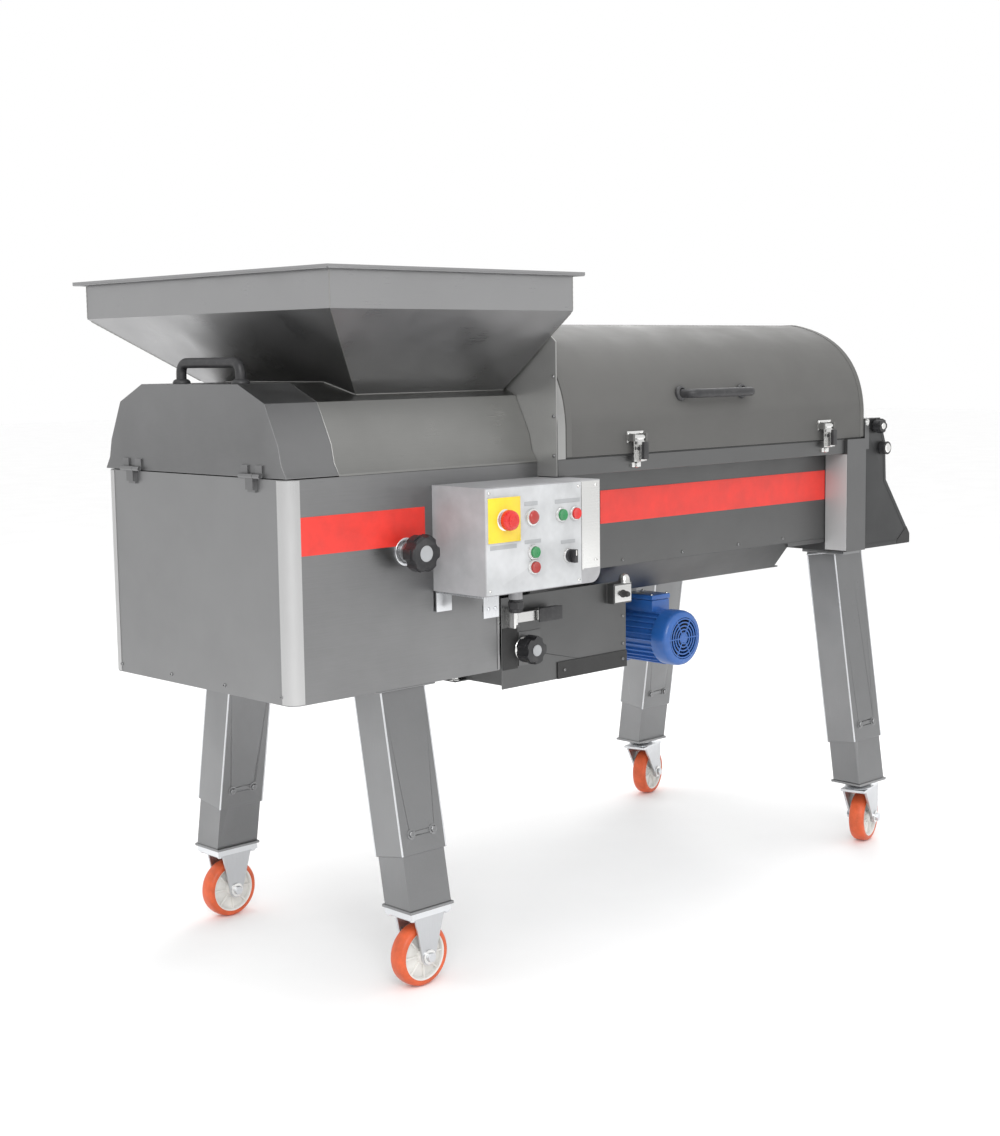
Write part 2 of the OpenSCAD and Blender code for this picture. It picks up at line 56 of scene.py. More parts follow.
# ---------------------------------------------------------------- camera
def camera():
    yaw, pitch, roll = math.radians(44.017), math.radians(6.8065), math.radians(-0.7745)
    d = Vector((math.sin(yaw) * math.cos(pitch), math.cos(yaw) * math.cos(pitch), -math.sin(pitch)))
    r = Vector((math.cos(yaw), -math.sin(yaw), 0.0))
    u = r.cross(d)
    r2 = math.cos(roll) * r + math.sin(roll) * u
    u2 = -math.sin(roll) * r + math.cos(roll) * u
    cam = bpy.data.cameras.new("cam")
    cam.sensor_width = 36.0
    cam.lens = 1766.4 * 36.0 / 1136.0
    cam.clip_end = 100.0
    o = bpy.data.objects.new("cam", cam)
    m = Matrix((r2, u2, -d)).transposed().to_4x4()
    m.translation = D(-1927.12, -2843.82, 1220.28)
    o.matrix_world = m
    bpy.context.scene.collection.objects.link(o)
    bpy.context.scene.camera = o


camera()


# ---------------------------------------------------------------- materials
def _nodes(name):
    m = bpy.data.materials.new(name)
    m.use_nodes = True
    nt = m.node_tree
    return m, nt, nt.nodes["Principled BSDF"]


def _n(nt, kind, **kw):
    n = nt.nodes.new(kind)
    for k, v in kw.items():
        setattr(n, k, v)
    return n


def _noise(nt, coord, scale, stretch=(1, 1, 1), detail=4.0, rough=0.55):
    mp = _n(nt, "ShaderNodeMapping")
    mp.inputs["Scale"].default_value = stretch
    nt.links.new(coord, mp.inputs["Vector"])
    no = _n(nt, "ShaderNodeTexNoise")
    no.inputs["Scale"].default_value = scale
    no.inputs["Detail"].default_value = detail
    no.inputs["Roughness"].default_value = rough
    nt.links.new(mp.outputs["Vector"], no.inputs["Vector"])
    return no.outputs["Fac"]


def _ramp(nt, fac, stops):
    rp = _n(nt, "ShaderNodeValToRGB")
    cr = rp.color_ramp
    cr.elements[0].position, cr.elements[0].color = stops[0][0], (*stops[0][1], 1)
    cr.elements[1].position, cr.elements[1].color = stops[-1][0], (*stops[-1][1], 1)
    for p, c in stops[1:-1]:
        e = cr.elements.new(p)
        e.color = (*c, 1)
    nt.links.new(fac, rp.inputs["Fac"])
    return rp.outputs["Color"]


def _range(nt, fac, a, b, lo=0.25, hi=0.75):
    mr = _n(nt, "ShaderNodeMapRange")
    mr.inputs["From Min"].default_value = lo
    mr.inputs["From Max"].default_value = hi
    mr.inputs["To Min"].default_value = a
    mr.inputs["To Max"].default_value = b
    nt.links.new(fac, mr.inputs["Value"])
    return mr.outputs["Result"]


def _mixc(nt, fac, a, b, mode="MIX"):
    mx = _n(nt, "ShaderNodeMix", data_type="RGBA", blend_type=mode)
    if isinstance(fac, float):
        mx.inputs[0].default_value = fac
    else:
        nt.links.new(fac, mx.inputs[0])
    for s, v in ((6, a), (7, b)):
        if isinstance(v, tuple):
            mx.inputs[s].default_value = (*v, 1)
        else:
            nt.links.new(v, mx.inputs[s])
    return mx.outputs[2]


def _bump(nt, bsdf, fac, strength, dist, prev=None):
    b = _n(nt, "ShaderNodeBump")
    b.inputs["Strength"].default_value = strength
    b.inputs["Distance"].default_value = dist
    nt.links.new(fac, b.inputs["Height"])
    if prev is not None:
        nt.links.new(prev, b.inputs["Normal"])
    nt.links.new(b.outputs["Normal"], bsdf.inputs["Normal"])
    return b.outputs["Normal"]


def steel(name, tone, rough=0.34, grain="x", metallic=1.0, wear=1.0):
    """Brushed stainless sheet: fine drawn lines, cloudy handling marks, paler edges."""
    m, nt, b = _nodes(name)
    co = _n(nt, "ShaderNodeTexCoord").outputs["Object"]
    st = {"x": (1.6, 150, 150), "y": (150, 1.6, 150), "z": (150, 150, 1.6)}[grain]
    line = _noise(nt, co, 7.0, st, 3.0, 0.6)
    fine = _noise(nt, co, 21.0, st, 2.0, 0.5)
    cloud = _noise(nt, co, 3.2, (1, 1, 1), 5.0, 0.6)
    blot = _noise(nt, co, 11.0, (1, 1, 1), 3.0, 0.5)
    base = _ramp(nt, cloud, [(0.28, tuple(c * (1 - 0.10 * wear) for c in tone)), (0.5, tone), (0.74, tuple(min(1, c * (1 + 0.09 * wear)) for c in tone))])
    base = _mixc(nt, _range(nt, line, 0.0, 0.30, 0.3, 0.7), base, tuple(min(1, c * 1.28) for c in tone))
    base = _mixc(nt, _range(nt, fine, 0.0, 0.16, 0.35, 0.65), base, tuple(c * 0.72 for c in tone))
    ge = _n(nt, "ShaderNodeNewGeometry").outputs["Pointiness"]
    edge = _range(nt, ge, 0.0, 0.55, 0.515, 0.58)
    base = _mixc(nt, edge, base, tuple(min(1, c * 1.55) for c in tone))
    nt.links.new(base, b.inputs["Base Color"])
    r1 = _range(nt, blot, rough - 0.05, rough + 0.08, 0.3, 0.7)
    r2 = _range(nt, line, -0.05, 0.05, 0.3, 0.7)
    ad = _n(nt, "ShaderNodeMath", operation="ADD")
    nt.links.new(r1, ad.inputs[0])
    nt.links.new(r2, ad.inputs[1])
    nt.links.new(ad.outputs[0], b.inputs["Roughness"])
    b.inputs["Metallic"].default_value = metallic
    b.inputs["Anisotropic"].default_value = 0.35
    _bump(nt, b, line, 0.05, 0.0002)
    return m


def plastic(name, tone, rough=0.45, texture=900.0, bump=0.12, dust=0.06, coat=0.0):
    """Moulded plastic or paint: fine grain, cloudy colour, worn paler edges, light dust."""
    m, nt, b = _nodes(name)
    co = _n(nt, "ShaderNodeTexCoord").outputs["Object"]
    g = _noise(nt, co, texture, (1, 1, 1), 2.0, 0.5)
    c = _noise(nt, co, 18.0, (1, 1, 1), 4.0, 0.6)
    base = _ramp(nt, c, [(0.3, tuple(x * 0.86 for x in tone)), (0.7, tuple(min(1, x * 1.12) for x in tone))])
    ge = _n(nt, "ShaderNodeNewGeometry").outputs["Pointiness"]
    edge = _range(nt, ge, 0.0, 0.35, 0.53, 0.62)
    base = _mixc(nt, edge, base, tuple(min(1, x * 1.35 + 0.05) for x in tone))
    base = _mixc(nt, _range(nt, _noise(nt, co, 55.0, (1, 1, 1), 5.0, 0.7), 0.0, dust, 0.5, 0.8), base, (0.62, 0.60, 0.57))
    nt.links.new(base, b.inputs["Base Color"])
    nt.links.new(_range(nt, c, rough - 0.06, rough + 0.08, 0.3, 0.7), b.inputs["Roughness"])
    b.inputs["Coat Weight"].default_value = coat
    _bump(nt, b, g, bump, 0.0002)
    return m


def rubber(name, tone, rough=0.62):
    m, nt, b = _nodes(name)
    co = _n(nt, "ShaderNodeTexCoord").outputs["Object"]
    c = _noise(nt, co, 26.0, (1, 1, 1), 5.0, 0.65)
    g = _noise(nt, co, 600.0, (1, 1, 1), 3.0, 0.6)
    base = _ramp(nt, c, [(0.3, tuple(x * 0.8 for x in tone)), (0.72, tuple(min(1, x * 1.25 + 0.008) for x in tone))])
    base = _mixc(nt, _range(nt, g, 0.0, 0.10, 0.55, 0.8), base, (0.5, 0.48, 0.45))
    nt.links.new(base, b.inputs["Base Color"])
    nt.links.new(_range(nt, c, rough - 0.08, rough + 0.12, 0.3, 0.7), b.inputs["Roughness"])
    _bump(nt, b, g, 0.18, 0.0003)
    return m


M = {}
M["panel"] = steel("steel_panel", (0.235, 0.236, 0.238), 0.36, "x")
M["panel_v"] = steel("steel_panel_vertical", (0.075, 0.076, 0.077), 0.42, "z")
# Darker copy of the panel steel for the right-hand casing, crusher frame and knob plate: painted shade, the light
# falling off towards the right.
M["panel_r"] = steel("steel_panel_right", (0.128, 0.129, 0.129), 0.40, "x")
M["bulk"] = steel("steel_bulkhead", (0.30, 0.30, 0.295), 0.40, "z", metallic=0.7)
# Paler copy of the steel for the end frame's left-facing sides: a painted highlight, the lit face of the same steel.
M["end_frame_lit_face"] = steel("steel_end_frame_painted_highlight", (0.40, 0.40, 0.40), 0.48, "z", metallic=0.35)
M["end_fr"] = steel("steel_end_frame", (0.135, 0.136, 0.137), 0.42, "z")
# Paler copy of the panel steel for the corner posts: a painted highlight on their rounded corners.
M["corner"] = steel("steel_corner_painted_highlight", (0.40, 0.40, 0.40), 0.34, "z")
M["end"] = steel("steel_end_cover", (0.195, 0.196, 0.198), 0.42, "y")
M["hopper"] = steel("steel_hopper", (0.255, 0.255, 0.258), 0.33, "x")
M["feed"] = steel("steel_feed_hood", (0.235, 0.235, 0.228), 0.34, "x")
M["hood"] = steel("steel_drum_hood", (0.105, 0.104, 0.100), 0.58, "x", metallic=0.2)
M["leg"] = steel("steel_leg", (0.225, 0.227, 0.230), 0.35, "z")
M["bright"] = steel("steel_bright", (0.62, 0.62, 0.61), 0.22, "x", wear=0.6)
M["inner"] = steel("steel_inner", (0.42, 0.42, 0.42), 0.36, "x")
M["zinc"] = steel("zinc_plate", (0.56, 0.57, 0.585), 0.30, "z", wear=0.8)
M["cast"] = steel("cast_iron", (0.17, 0.175, 0.18), 0.55, "z", 0.8)
M["red_film"] = plastic("red_film", (0.66, 0.030, 0.020), 0.42, 500.0, 0.04, 0.01, 0.0)
M["panel_grey"] = plastic("overlay_grey", (0.50, 0.51, 0.52), 0.42, 700.0, 0.06, 0.03)
M["box_grey"] = plastic("box_grey", (0.36, 0.36, 0.37), 0.42, 420.0, 0.22, 0.03)
M["black"] = plastic("black_plastic", (0.022, 0.022, 0.024), 0.42, 800.0, 0.20, 0.05)
M["blue"] = plastic("blue_enamel", (0.018, 0.105, 0.37), 0.34, 260.0, 0.12, 0.04, 0.3)
M["grey_enamel"] = plastic("grey_enamel", (0.27, 0.28, 0.29), 0.40, 260.0, 0.16, 0.04, 0.1)
M["red"] = plastic("red_plastic", (0.62, 0.014, 0.012), 0.26, 700.0, 0.04, 0.02, 0.4)
M["dark_red"] = plastic("dark_red_plastic", (0.36, 0.020, 0.016), 0.28, 700.0, 0.04, 0.02, 0.4)
M["green"] = plastic("green_plastic", (0.016, 0.22, 0.065), 0.28, 700.0, 0.04, 0.02, 0.4)
M["yellow"] = plastic("yellow_plastic", (0.82, 0.56, 0.02), 0.36, 700.0, 0.06, 0.03)
M["white"] = plastic("white_nylon", (0.70, 0.69, 0.66), 0.40, 500.0, 0.10, 0.10)
M["orange"] = rubber("orange_tread", (0.64, 0.10, 0.026), 0.40)
M["rubber"] = rubber("black_rubber", (0.022, 0.022, 0.022))
M["roller"] = rubber("roller_rubber", (0.045, 0.045, 0.045), 0.55)
M["label"] = plastic("label_grey", (0.34, 0.35, 0.36), 0.5, 700.0, 0.05, 0.02)


# ---------------------------------------------------------------- mesh building
class MB:
    """Gathers vertices and faces, in the drawing frame's millimetres."""

    def __init__(self):
        self.v, self.f = [], []

    def raw(self, vs, fs):
        k = len(self.v)
        self.v += [tuple(p) for p in vs]
        self.f += [tuple(i + k for i in f) for f in fs]
        return self

    def box(self, x0, x1, y0, y1, z0, z1, c=0.0, mat=None):
        """A box with its twelve edges chamfered by c."""
        bm = bmesh.new()
        bmesh.ops.create_cube(bm, size=1.0)
        for v in bm.verts:
            v.co = Vector(((x0 + x1) / 2 + v.co.x * (x1 - x0), (y0 + y1) / 2 + v.co.y * (y1 - y0), (z0 + z1) / 2 + v.co.z * (z1 - z0)))
        if c > 0:
            bmesh.ops.bevel(bm, geom=bm.edges[:], offset=c, segments=2, profile=0.6, affect="EDGES")
        return self._bm(bm, mat)

    def _bm(self, bm, mat=None):
        bm.verts.index_update()
        if mat is not None:
            bm.transform(mat)
        self.raw([v.co.copy() for v in bm.verts], [[v.index for v in f.verts] for f in bm.faces])
        bm.free()
        return self

    def lathe(self, prof, centre, axis=(0, 0, 1), n=48, ref=None, closed=False, wave=None):
        """prof is [(radius, height)]; revolved round axis through centre."""
        a = Vector(axis).normalized()
        q = Vector((0, 0, 1)).rotation_difference(a)
        c = Vector(centre)
        vs, fs = [], []
        for i in range(n):
            t = 2 * math.pi * i / n
            for r, h in prof:
                rr = r * (wave(t) if wave else 1.0)
                vs.append(c + q @ Vector((rr * math.cos(t), rr * math.sin(t), h)))
        m = len(prof)
        for i in range(n):
            j = (i + 1) % n
            for k in range(m - 1 if not closed else m):
                l = (k + 1) % m
                fs.append((i * m + k, j * m + k, j * m + l, i * m + l))
        if not closed:
            if prof[0][0] > 1e-6:
                fs.append([i * m for i in range(n)][::-1])
            if prof[-1][0] > 1e-6:
                fs.append([i * m + m - 1 for i in range(n)])
        return self.raw(vs, fs)

    def tube(self, pts, r, n=12, cap=True):
        pts = [Vector(p) for p in pts]
        vs, fs = [], []
        t0 = (pts[1] - pts[0]).normalized()
        nrm = t0.orthogonal().normalized()
        prev = t0
        for i, p in enumerate(pts):
            t = ((pts[min(i + 1, len(pts) - 1)] - pts[max(i - 1, 0)])).normalized()
            nrm = (prev.rotation_difference(t) @ nrm).normalized()
            prev = t
            b = t.cross(nrm)
            for k in range(n):
                a = 2 * math.pi * k / n
                vs.append(p + (nrm * math.cos(a) + b * math.sin(a)) * r)
        for i in range(len(pts) - 1):
            for k in range(n):
                l = (k + 1) % n
                fs.append((i * n + k, i * n + l, (i + 1) * n + l, (i + 1) * n + k))
        if cap:
            fs.append([k for k in range(n)][::-1])
            fs.append([(len(pts) - 1) * n + k for k in range(n)])
        return self.raw(vs, fs)

    def hexbolt(self, c, axis, s=6.5, h=4.5, washer=True):
        """Washer and hexagon head with a domed top, standing on c along axis."""
        if washer:
            self.lathe([(s * 1.45, -0.2), (s * 1.45, 1.0), (s * 1.3, 1.4), (0, 1.4)], c, axis, 28)
        a = Vector(axis).normalized()
        q = Vector((0, 0, 1)).rotation_difference(a)
        k = 1.4 if washer else 0.0
        vs, fs = [], []
        rings = [(s, k - 0.2), (s, k + h - 1.0), (s * 0.86, k + h), (s * 0.45, k + h)]
        for r, z in rings:
            for i in range(6):
                t = math.pi / 3 * i
                vs.append(Vector(c) + q @ Vector((r * math.cos(t), r * math.sin(t), z)))
        for j in range(3):
            for i in range(6):
                l = (i + 1) % 6
                fs.append((j * 6 + i, j * 6 + l, (j + 1) * 6 + l, (j + 1) * 6 + i))
        fs.append([0, 1, 2, 3, 4, 5][::-1])
        fs.append([18 + i for i in range(6)])
        return self.raw(vs, fs)

    def button_screw(self, c, axis, r=5.0):
        """Domed socket screw."""
        return self.lathe([(r, -0.2), (r, 0.6), (r * 0.92, 1.5), (r * 0.72, 2.4), (r * 0.42, 2.8), (r * 0.40, 1.3), (0, 1.1)], c, axis, 24)

    def bead(self, p0, p1, r=1.4, n=8, step=5.0):
        """A weld bead: a thin rippled ridge from p0 to p1."""
        p0, p1 = Vector(p0), Vector(p1)
        L = (p1 - p0).length
        m = max(4, int(L / step))
        pts = [p0.lerp(p1, i / m) for i in range(m + 1)]
        k = len(self.v)
        self.tube(pts, r, n)
        for i in range(m + 1):
            s = 1.0 + (0.16 if i % 2 else -0.10)
            for j in range(n):
                v = Vector(self.v[k + i * n + j])
                self.v[k + i * n + j] = tuple(pts[i] + (v - pts[i]) * s)
        return self

    def obj(self, name, mat, body, slot, bevel=0.0, smooth=35.0, replaces=()):
        me = bpy.data.meshes.new(name)
        me.from_pydata([D(*p) for p in self.v], [], self.f)
        me.validate()
        bm = bmesh.new()
        bm.from_mesh(me)
        bmesh.ops.remove_doubles(bm, verts=bm.verts[:], dist=1e-6)
        bmesh.ops.recalc_face_normals(bm, faces=bm.faces[:])
        bm.to_mesh(me)
        bm.free()
        o = bpy.data.objects.new(name, me)
        bpy.context.scene.collection.objects.link(o)
        me.materials.append(M[mat])
        me.shade_smooth()
        me.set_sharp_from_angle(angle=math.radians(smooth))
        if bevel > 0:
            b = o.modifiers.new("edge", "BEVEL")
            b.width = bevel / 1000.0
            b.segments = 2
            b.limit_method = "ANGLE"
            b.angle_limit = math.radians(38)
        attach(o, body)
        if replaces:
            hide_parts(*replaces)
        return o


# ---------------------------------------------------------------- CAD nodes: edges and materials
def angle_group():
    """Smooth shading with every edge over 24 degrees kept sharp, as a modifier."""
    g = bpy.data.node_groups.new("smooth_by_angle", "GeometryNodeTree")
    g.interface.new_socket("Geometry", in_out="INPUT", socket_type="NodeSocketGeometry")
    g.interface.new_socket("Geometry", in_out="OUTPUT", socket_type="NodeSocketGeometry")
    i, o = g.nodes.new("NodeGroupInput"), g.nodes.new("NodeGroupOutput")
    sm = g.nodes.new("GeometryNodeSetShadeSmooth")
    sm.domain = "FACE"
    ed = g.nodes.new("GeometryNodeSetShadeSmooth")
    ed.domain = "EDGE"
    ed.inputs["Shade Smooth"].default_value = False
    an = g.nodes.new("GeometryNodeInputMeshEdgeAngle")
    cp = g.nodes.new("FunctionNodeCompare")
    cp.data_type = "FLOAT"
    cp.operation = "GREATER_THAN"
    cp.inputs[1].default_value = math.radians(24.0)
    g.links.new(an.outputs["Unsigned Angle"], cp.inputs[0])
    g.links.new(i.outputs[0], sm.inputs["Geometry"])
    g.links.new(sm.outputs["Geometry"], ed.inputs["Geometry"])
    g.links.new(cp.outputs[0], ed.inputs["Selection"])
    g.links.new(ed.outputs["Geometry"], o.inputs[0])
    return g


ANGLE = angle_group()


def smooth_by_angle(o):
    m = o.modifiers.new("smooth", "NODES")
    m.node_group = ANGLE


def dress(node, mat, bevel=0.8):
    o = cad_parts[node]
    me = o.data
    if not me.materials:
        me.materials.append(M[mat])
    for s in o.material_slots:
        s.link = "OBJECT"
        s.material = M[mat]
    w = o.modifiers.new("weld", "WELD")
    w.merge_threshold = 0.00001
    smooth_by_angle(o)
    if bevel > 0:
        b = o.modifiers.new("edge", "BEVEL")
        b.width = bevel / 1000.0
        b.segments = 2
        b.limit_method = "ANGLE"
        b.angle_limit = math.radians(32)
        b.harden_normals = False
    n = o.modifiers.new("normals", "WEIGHTED_NORMAL")
    n.keep_sharp = True


DRESS = {
    "left_casing": ("panel", 1.2), "feed_trough": ("inner", 0.6), "feed_hood": ("feed", 1.0), "hopper": ("hopper", 1.0),
    "bulkhead": ("bulk", 0.8), "drum_casing": ("panel_r", 1.0), "drum_trough": ("panel_r", 0.8), "end_frame": ("end_fr", 1.2),
    "trim_stripes": ("red_film", 0.3), "leg_sleeves": ("leg", 1.6), "control_box": ("box_grey", 1.6), "control_panel": ("panel_grey", 0.5),
    "cable_glands": ("black", 0.6), "drive_motor": ("blue", 1.5), "drum_reducer": ("cast", 1.5), "bearing_housings": ("cast", 1.0),
    "crusher_rails": ("inner", 0.6), "hinge_bases": ("end", 0.4), "drive_belt": ("rubber", 0.6), "end_cover": ("end", 1.2),
    "end_cover_handle": ("black", 0.6), "drum_hood": ("hood", 1.0), "hood_handle": ("black", 0.6), "hood_latch_left": ("bright", 0.6),
    "hood_latch_right": ("bright", 0.6), "beater_shaft": ("bright", 0.6), "beater_pulley": ("cast", 1.0), "motor_pulley": ("cast", 1.0),
    "crusher_frame": ("panel_r", 1.0), "crusher_motor": ("blue", 1.0), "crusher_gearbox": ("grey_enamel", 2.2), "roller_front": ("roller", 0.8),
    "roller_rear": ("roller", 0.8), "roller_gap_knob": ("black", 1.0), "crusher_clamp": ("bright", 0.8), "crusher_skirt": ("rubber", 0.8),
    "emergency_stop": ("red", 0.4), "drum_start_button": ("green", 0.6), "drum_stop_button": ("red", 0.6), "crusher_start_button": ("green", 0.6),
    "crusher_stop_button": ("dark_red", 0.6), "selector_switch": ("black", 0.8), "speed_knob": ("black", 1.4), "stalk_chute": ("panel_v", 1.2),
    "chute_flap": ("rubber", 0.6), "chute_knob": ("black", 1.0), "destemming_drum": ("bright", 0), "feed_auger": ("bright", 0),
}
for c in ("front_left", "rear_left", "front_right", "rear_right"):
    DRESS["leg_insert_" + c] = ("leg", 1.2)
    DRESS["caster_fork_" + c] = ("zinc", 0.7)
    DRESS["caster_wheel_" + c] = ("orange", 0)
for node, (mat, bev) in DRESS.items():
    dress(node, mat, bev)

AZ = 990.0


# ---------------------------------------------------------------- drum, auger
def perforated_drum():
    m = MB()
    R, x0, x1, nx, nt = 224.0, 668.0, 1602.0, 40, 60
    dx, dt = (x1 - x0) / nx, 2 * math.pi / nt

    def P(x, t):
        return (x, R * math.cos(t), AZ + R * math.sin(t))

    sq = [(-1, -1), (0, -1), (1, -1), (1, 0), (1, 1), (0, 1), (-1, 1), (-1, 0)]
    hr = 8.6
    for i in range(nx):
        for j in range(nt):
            cx, ct = x0 + (i + 0.5) * dx, (j + 0.5) * dt
            out = [P(cx + a * dx / 2, ct + b * dt / 2) for a, b in sq]
            inn = []
            for a, b in sq:
                L = math.hypot(a, b)
                inn.append(P(cx + a / L * hr, ct + b / L * hr / R))
            m.raw(out + inn, [(k, (k + 1) % 8, 8 + (k + 1) % 8, 8 + k) for k in range(8)])
    o = m.obj("drum_perforated_shell", "bright", "drum", "polished", smooth=60)
    s = o.modifiers.new("thick", "SOLIDIFY")
    s.thickness = 0.0025
    s.offset = 0
    r = MB()
    for x in (660.0, 1602.0):
        r.lathe([(221, 0), (225, 0), (225, 8), (221, 8)], (x, 0, AZ), (1, 0, 0), 96, closed=True)
    r.lathe([(38.2, 0), (56, 0), (56, 8), (38.2, 8)], (660, 0, AZ), (1, 0, 0), 48, closed=True)
    for a in range(3):
        t = a * 2 * math.pi / 3
        rot = Matrix.Translation(Vector((664, 0, AZ))) @ Matrix.Rotation(t, 4, "X") @ Matrix.Translation(Vector((0, 0, 138)))
        bm = bmesh.new()
        bmesh.ops.create_cube(bm, size=1.0)
        for v in bm.verts:
            v.co = Vector((v.co.x * 8, v.co.y * 28, v.co.z * 172))
        bmesh.ops.bevel(bm, geom=bm.edges[:], offset=1.5, segments=2, profile=0.6, affect="EDGES")
        r._bm(bm, rot)
    r.obj("drum_end_rings", "bright", "drum", "polished", 0.6, replaces=("destemming_drum",))


def auger():
    m = MB()
    pitch, x0, x1, th = 158.0, 166.0, 640.0, 3.0
    n = int((x1 - x0) / pitch * 48)
    vs, fs = [], []
    for i in range(n + 1):
        x = x0 + (x1 - x0) * i / n
        t = 2 * math.pi * (x - x0) / pitch
        for r, o in ((37.0, -th / 2), (127.5, -th / 2), (130.0, 0.0), (127.5, th / 2), (37.0, th / 2)):
            vs.append((x + o, r * math.cos(t), AZ + r * math.sin(t)))
    for i in range(n):
        for k in range(5):
            l = (k + 1) % 5
            fs.append((i * 5 + k, (i + 1) * 5 + k, (i + 1) * 5 + l, i * 5 + l))
    fs.append([0, 1, 2, 3, 4])
    fs.append([n * 5 + k for k in (4, 3, 2, 1, 0)])
    m.raw(vs, fs)
    m.lathe([(22, 96), (38, 96), (38, 672), (22, 672)], (0, 0, AZ), (1, 0, 0), 64, closed=True)
    # fillet weld where the flight meets the tube
    pts = []
    for i in range(0, n + 1):
        x = x0 + (x1 - x0) * i / n
        t = 2 * math.pi * (x - x0) / pitch
        pts.append((x + 2.6, 39.0 * math.cos(t), AZ + 39.0 * math.sin(t)))
    m.tube(pts, 2.0, 8)
    m.obj("auger_screw", "bright", "drum", "polished", smooth=50, replaces=("feed_auger",))


perforated_drum()
auger()


# ---------------------------------------------------------------- casters
def caster(c):
    lo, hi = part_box("caster_wheel_" + c)
    swivel = c.endswith("right")
    yaw = math.radians(15.0 if swivel else 0.0)
    ctr = (((lo[0] + hi[0]) / 2) * 1000 - SX, ((lo[1] + hi[1]) / 2) * 1000 - SY, 62.5)
    ax = (-math.sin(yaw), math.cos(yaw), 0)
    tread = MB()
    prof = [(50.0, -18.6), (54.5, -19.0), (58.2, -17.4), (61.0, -13.6), (62.2, -8.0), (62.5, 0.0),
            (62.2, 8.0), (61.0, 13.6), (58.2, 17.4), (54.5, 19.0), (50.0, 18.6), (49.4, 0.0)]
    tread.lathe(prof, ctr, ax, 96, closed=True)
    tread.obj("tread_" + c, "orange", "wheel_" + c, "orange_pu", smooth=60)
    hub = MB()
    hub.lathe([(6.1, -22), (15.0, -22), (16.5, -20.5), (17.5, -12), (44.0, -10.5), (46.5, -16.5), (49.8, -18.0), (49.8, 18.0),
               (46.5, 16.5), (44.0, 10.5), (17.5, 12), (16.5, 20.5), (15.0, 22), (6.1, 22)], ctr, ax, 72, closed=True)
    q = Vector((0, 0, 1)).rotation_difference(Vector(ax))
    for k in range(8):
        for s in (-1, 1):
            bm = bmesh.new()
            bmesh.ops.create_cube(bm, size=1.0)
            for v in bm.verts:
                v.co = Vector((31 + v.co.x * 30, v.co.y * (3.0 if v.co.x > 0 else 4.2), s * 12.6 + v.co.z * 5.0))
            bmesh.ops.bevel(bm, geom=bm.edges[:], offset=0.8, segments=2, profile=0.6, affect="EDGES")
            mt = Matrix.Translation(Vector(ctr)) @ q.to_matrix().to_4x4() @ Matrix.Rotation(k * math.pi / 4, 4, "Z")
            hub._bm(bm, mt)
    hub.obj("hub_" + c, "white", "wheel_" + c, "orange_pu", smooth=40, replaces=("caster_wheel_" + c,))
    bear = MB()
    for s in (-1, 1):
        cc = Vector(ctr) + Vector(ax) * s * 22.0
        bear.lathe([(6.2, -0.4), (13.5, -0.4), (13.5, 1.2), (12.0, 1.8), (9.0, 1.0), (7.6, 1.8), (6.2, 1.8)], cc, Vector(ax) * s, 36, closed=True)
    bear.obj("wheel_bearings_" + c, "zinc", "wheel_" + c, "zinc", smooth=40)
    lo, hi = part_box("leg_insert_" + c)
    lx = 278.5 if c.endswith("left") else 1706.5
    ly = (-1 if c.startswith("front") else 1) * (360.0 if swivel else 318.0)
    top = MB()
    if swivel:
        top.lathe([(27, 143), (33.5, 143.5), (34, 146.5), (31, 150.6), (27, 151.6)], (lx, ly, 0), (0, 0, 1), 48, closed=True)
        top.lathe([(0, 136.0), (9, 136.0), (11, 138.9)], (lx, ly, 0), (0, 0, 1), 24)
        body = "swivel_" + c
    else:
        for a in (-44, 44):
            for b in (-33, 33):
                top.hexbolt((lx + a, ly + b, 148.2), (0, 0, -1), 5.2, 4.0)
        body = "leg_" + c
    top.obj("caster_top_" + c, "zinc", body, "zinc", smooth=40)
    bolt = MB()
    fx = Vector(ctr)
    for s in (-1, 1):
        cc = fx + Vector(ax) * s * 31.4
        bolt.lathe([(7.0, 0), (15.0, 0.0), (15.0, 1.3), (14.0, 2.0), (7.0, 2.0)], cc, Vector(ax) * s, 30, closed=True)
    bolt.obj("axle_washers_" + c, "bright", body, "zinc", smooth=40)


for c in ("front_left", "rear_left", "front_right", "rear_right"):
    caster(c)


# ---------------------------------------------------------------- legs
def legs():
    b, w = MB(), MB()
    for lx, ly, s, a, top in ((278.5, 318, -1, 10, 590), (278.5, 318, 1, 10, 590), (1706.5, 360, -1, 8, 735), (1706.5, 360, 1, 8, 735)):
        q = Matrix.Translation(Vector((lx, s * ly, 165))) @ Matrix.Rotation(math.radians(s * a), 4, "X")
        for sx in (-28, 28):
            for f in (-1, 1):
                c = q @ Vector((sx, f * 41.0, 140))
                n = (q.to_3x3() @ Vector((0, f, 0))).normalized()
                b.hexbolt(c, n, 7.0, 4.2)
        # weld beads round the top plate
        zt = (top - 5.5 - 165) / math.cos(math.radians(a))
        for sx in (-57.2, 57.2):
            w.bead(q @ Vector((sx, -40, zt)), q @ Vector((sx, 40, zt)), 2.0)
        for f in (-1, 1):
            w.bead(q @ Vector((-56, f * 41.6, zt)), q @ Vector((56, f * 41.6, zt)), 2.0)
        # bright strips down the corners of the folded tube: a painted highlight of the light catching its edges
        for sx in (-55.6, 55.6):
            for f in (-40.1, 40.1):
                w.tube([q @ Vector((sx, f, 101 + (zt - 104) * k / 12)) for k in range(13)], 1.9, 10)
    b.obj("leg_bolts", "leg", "base", "brushed", smooth=40)
    # the welds are real; the corner strips in this same object are painted highlight
    w.obj("leg_welds_and_painted_highlights", "zinc", "base", "zinc", smooth=50)


legs()


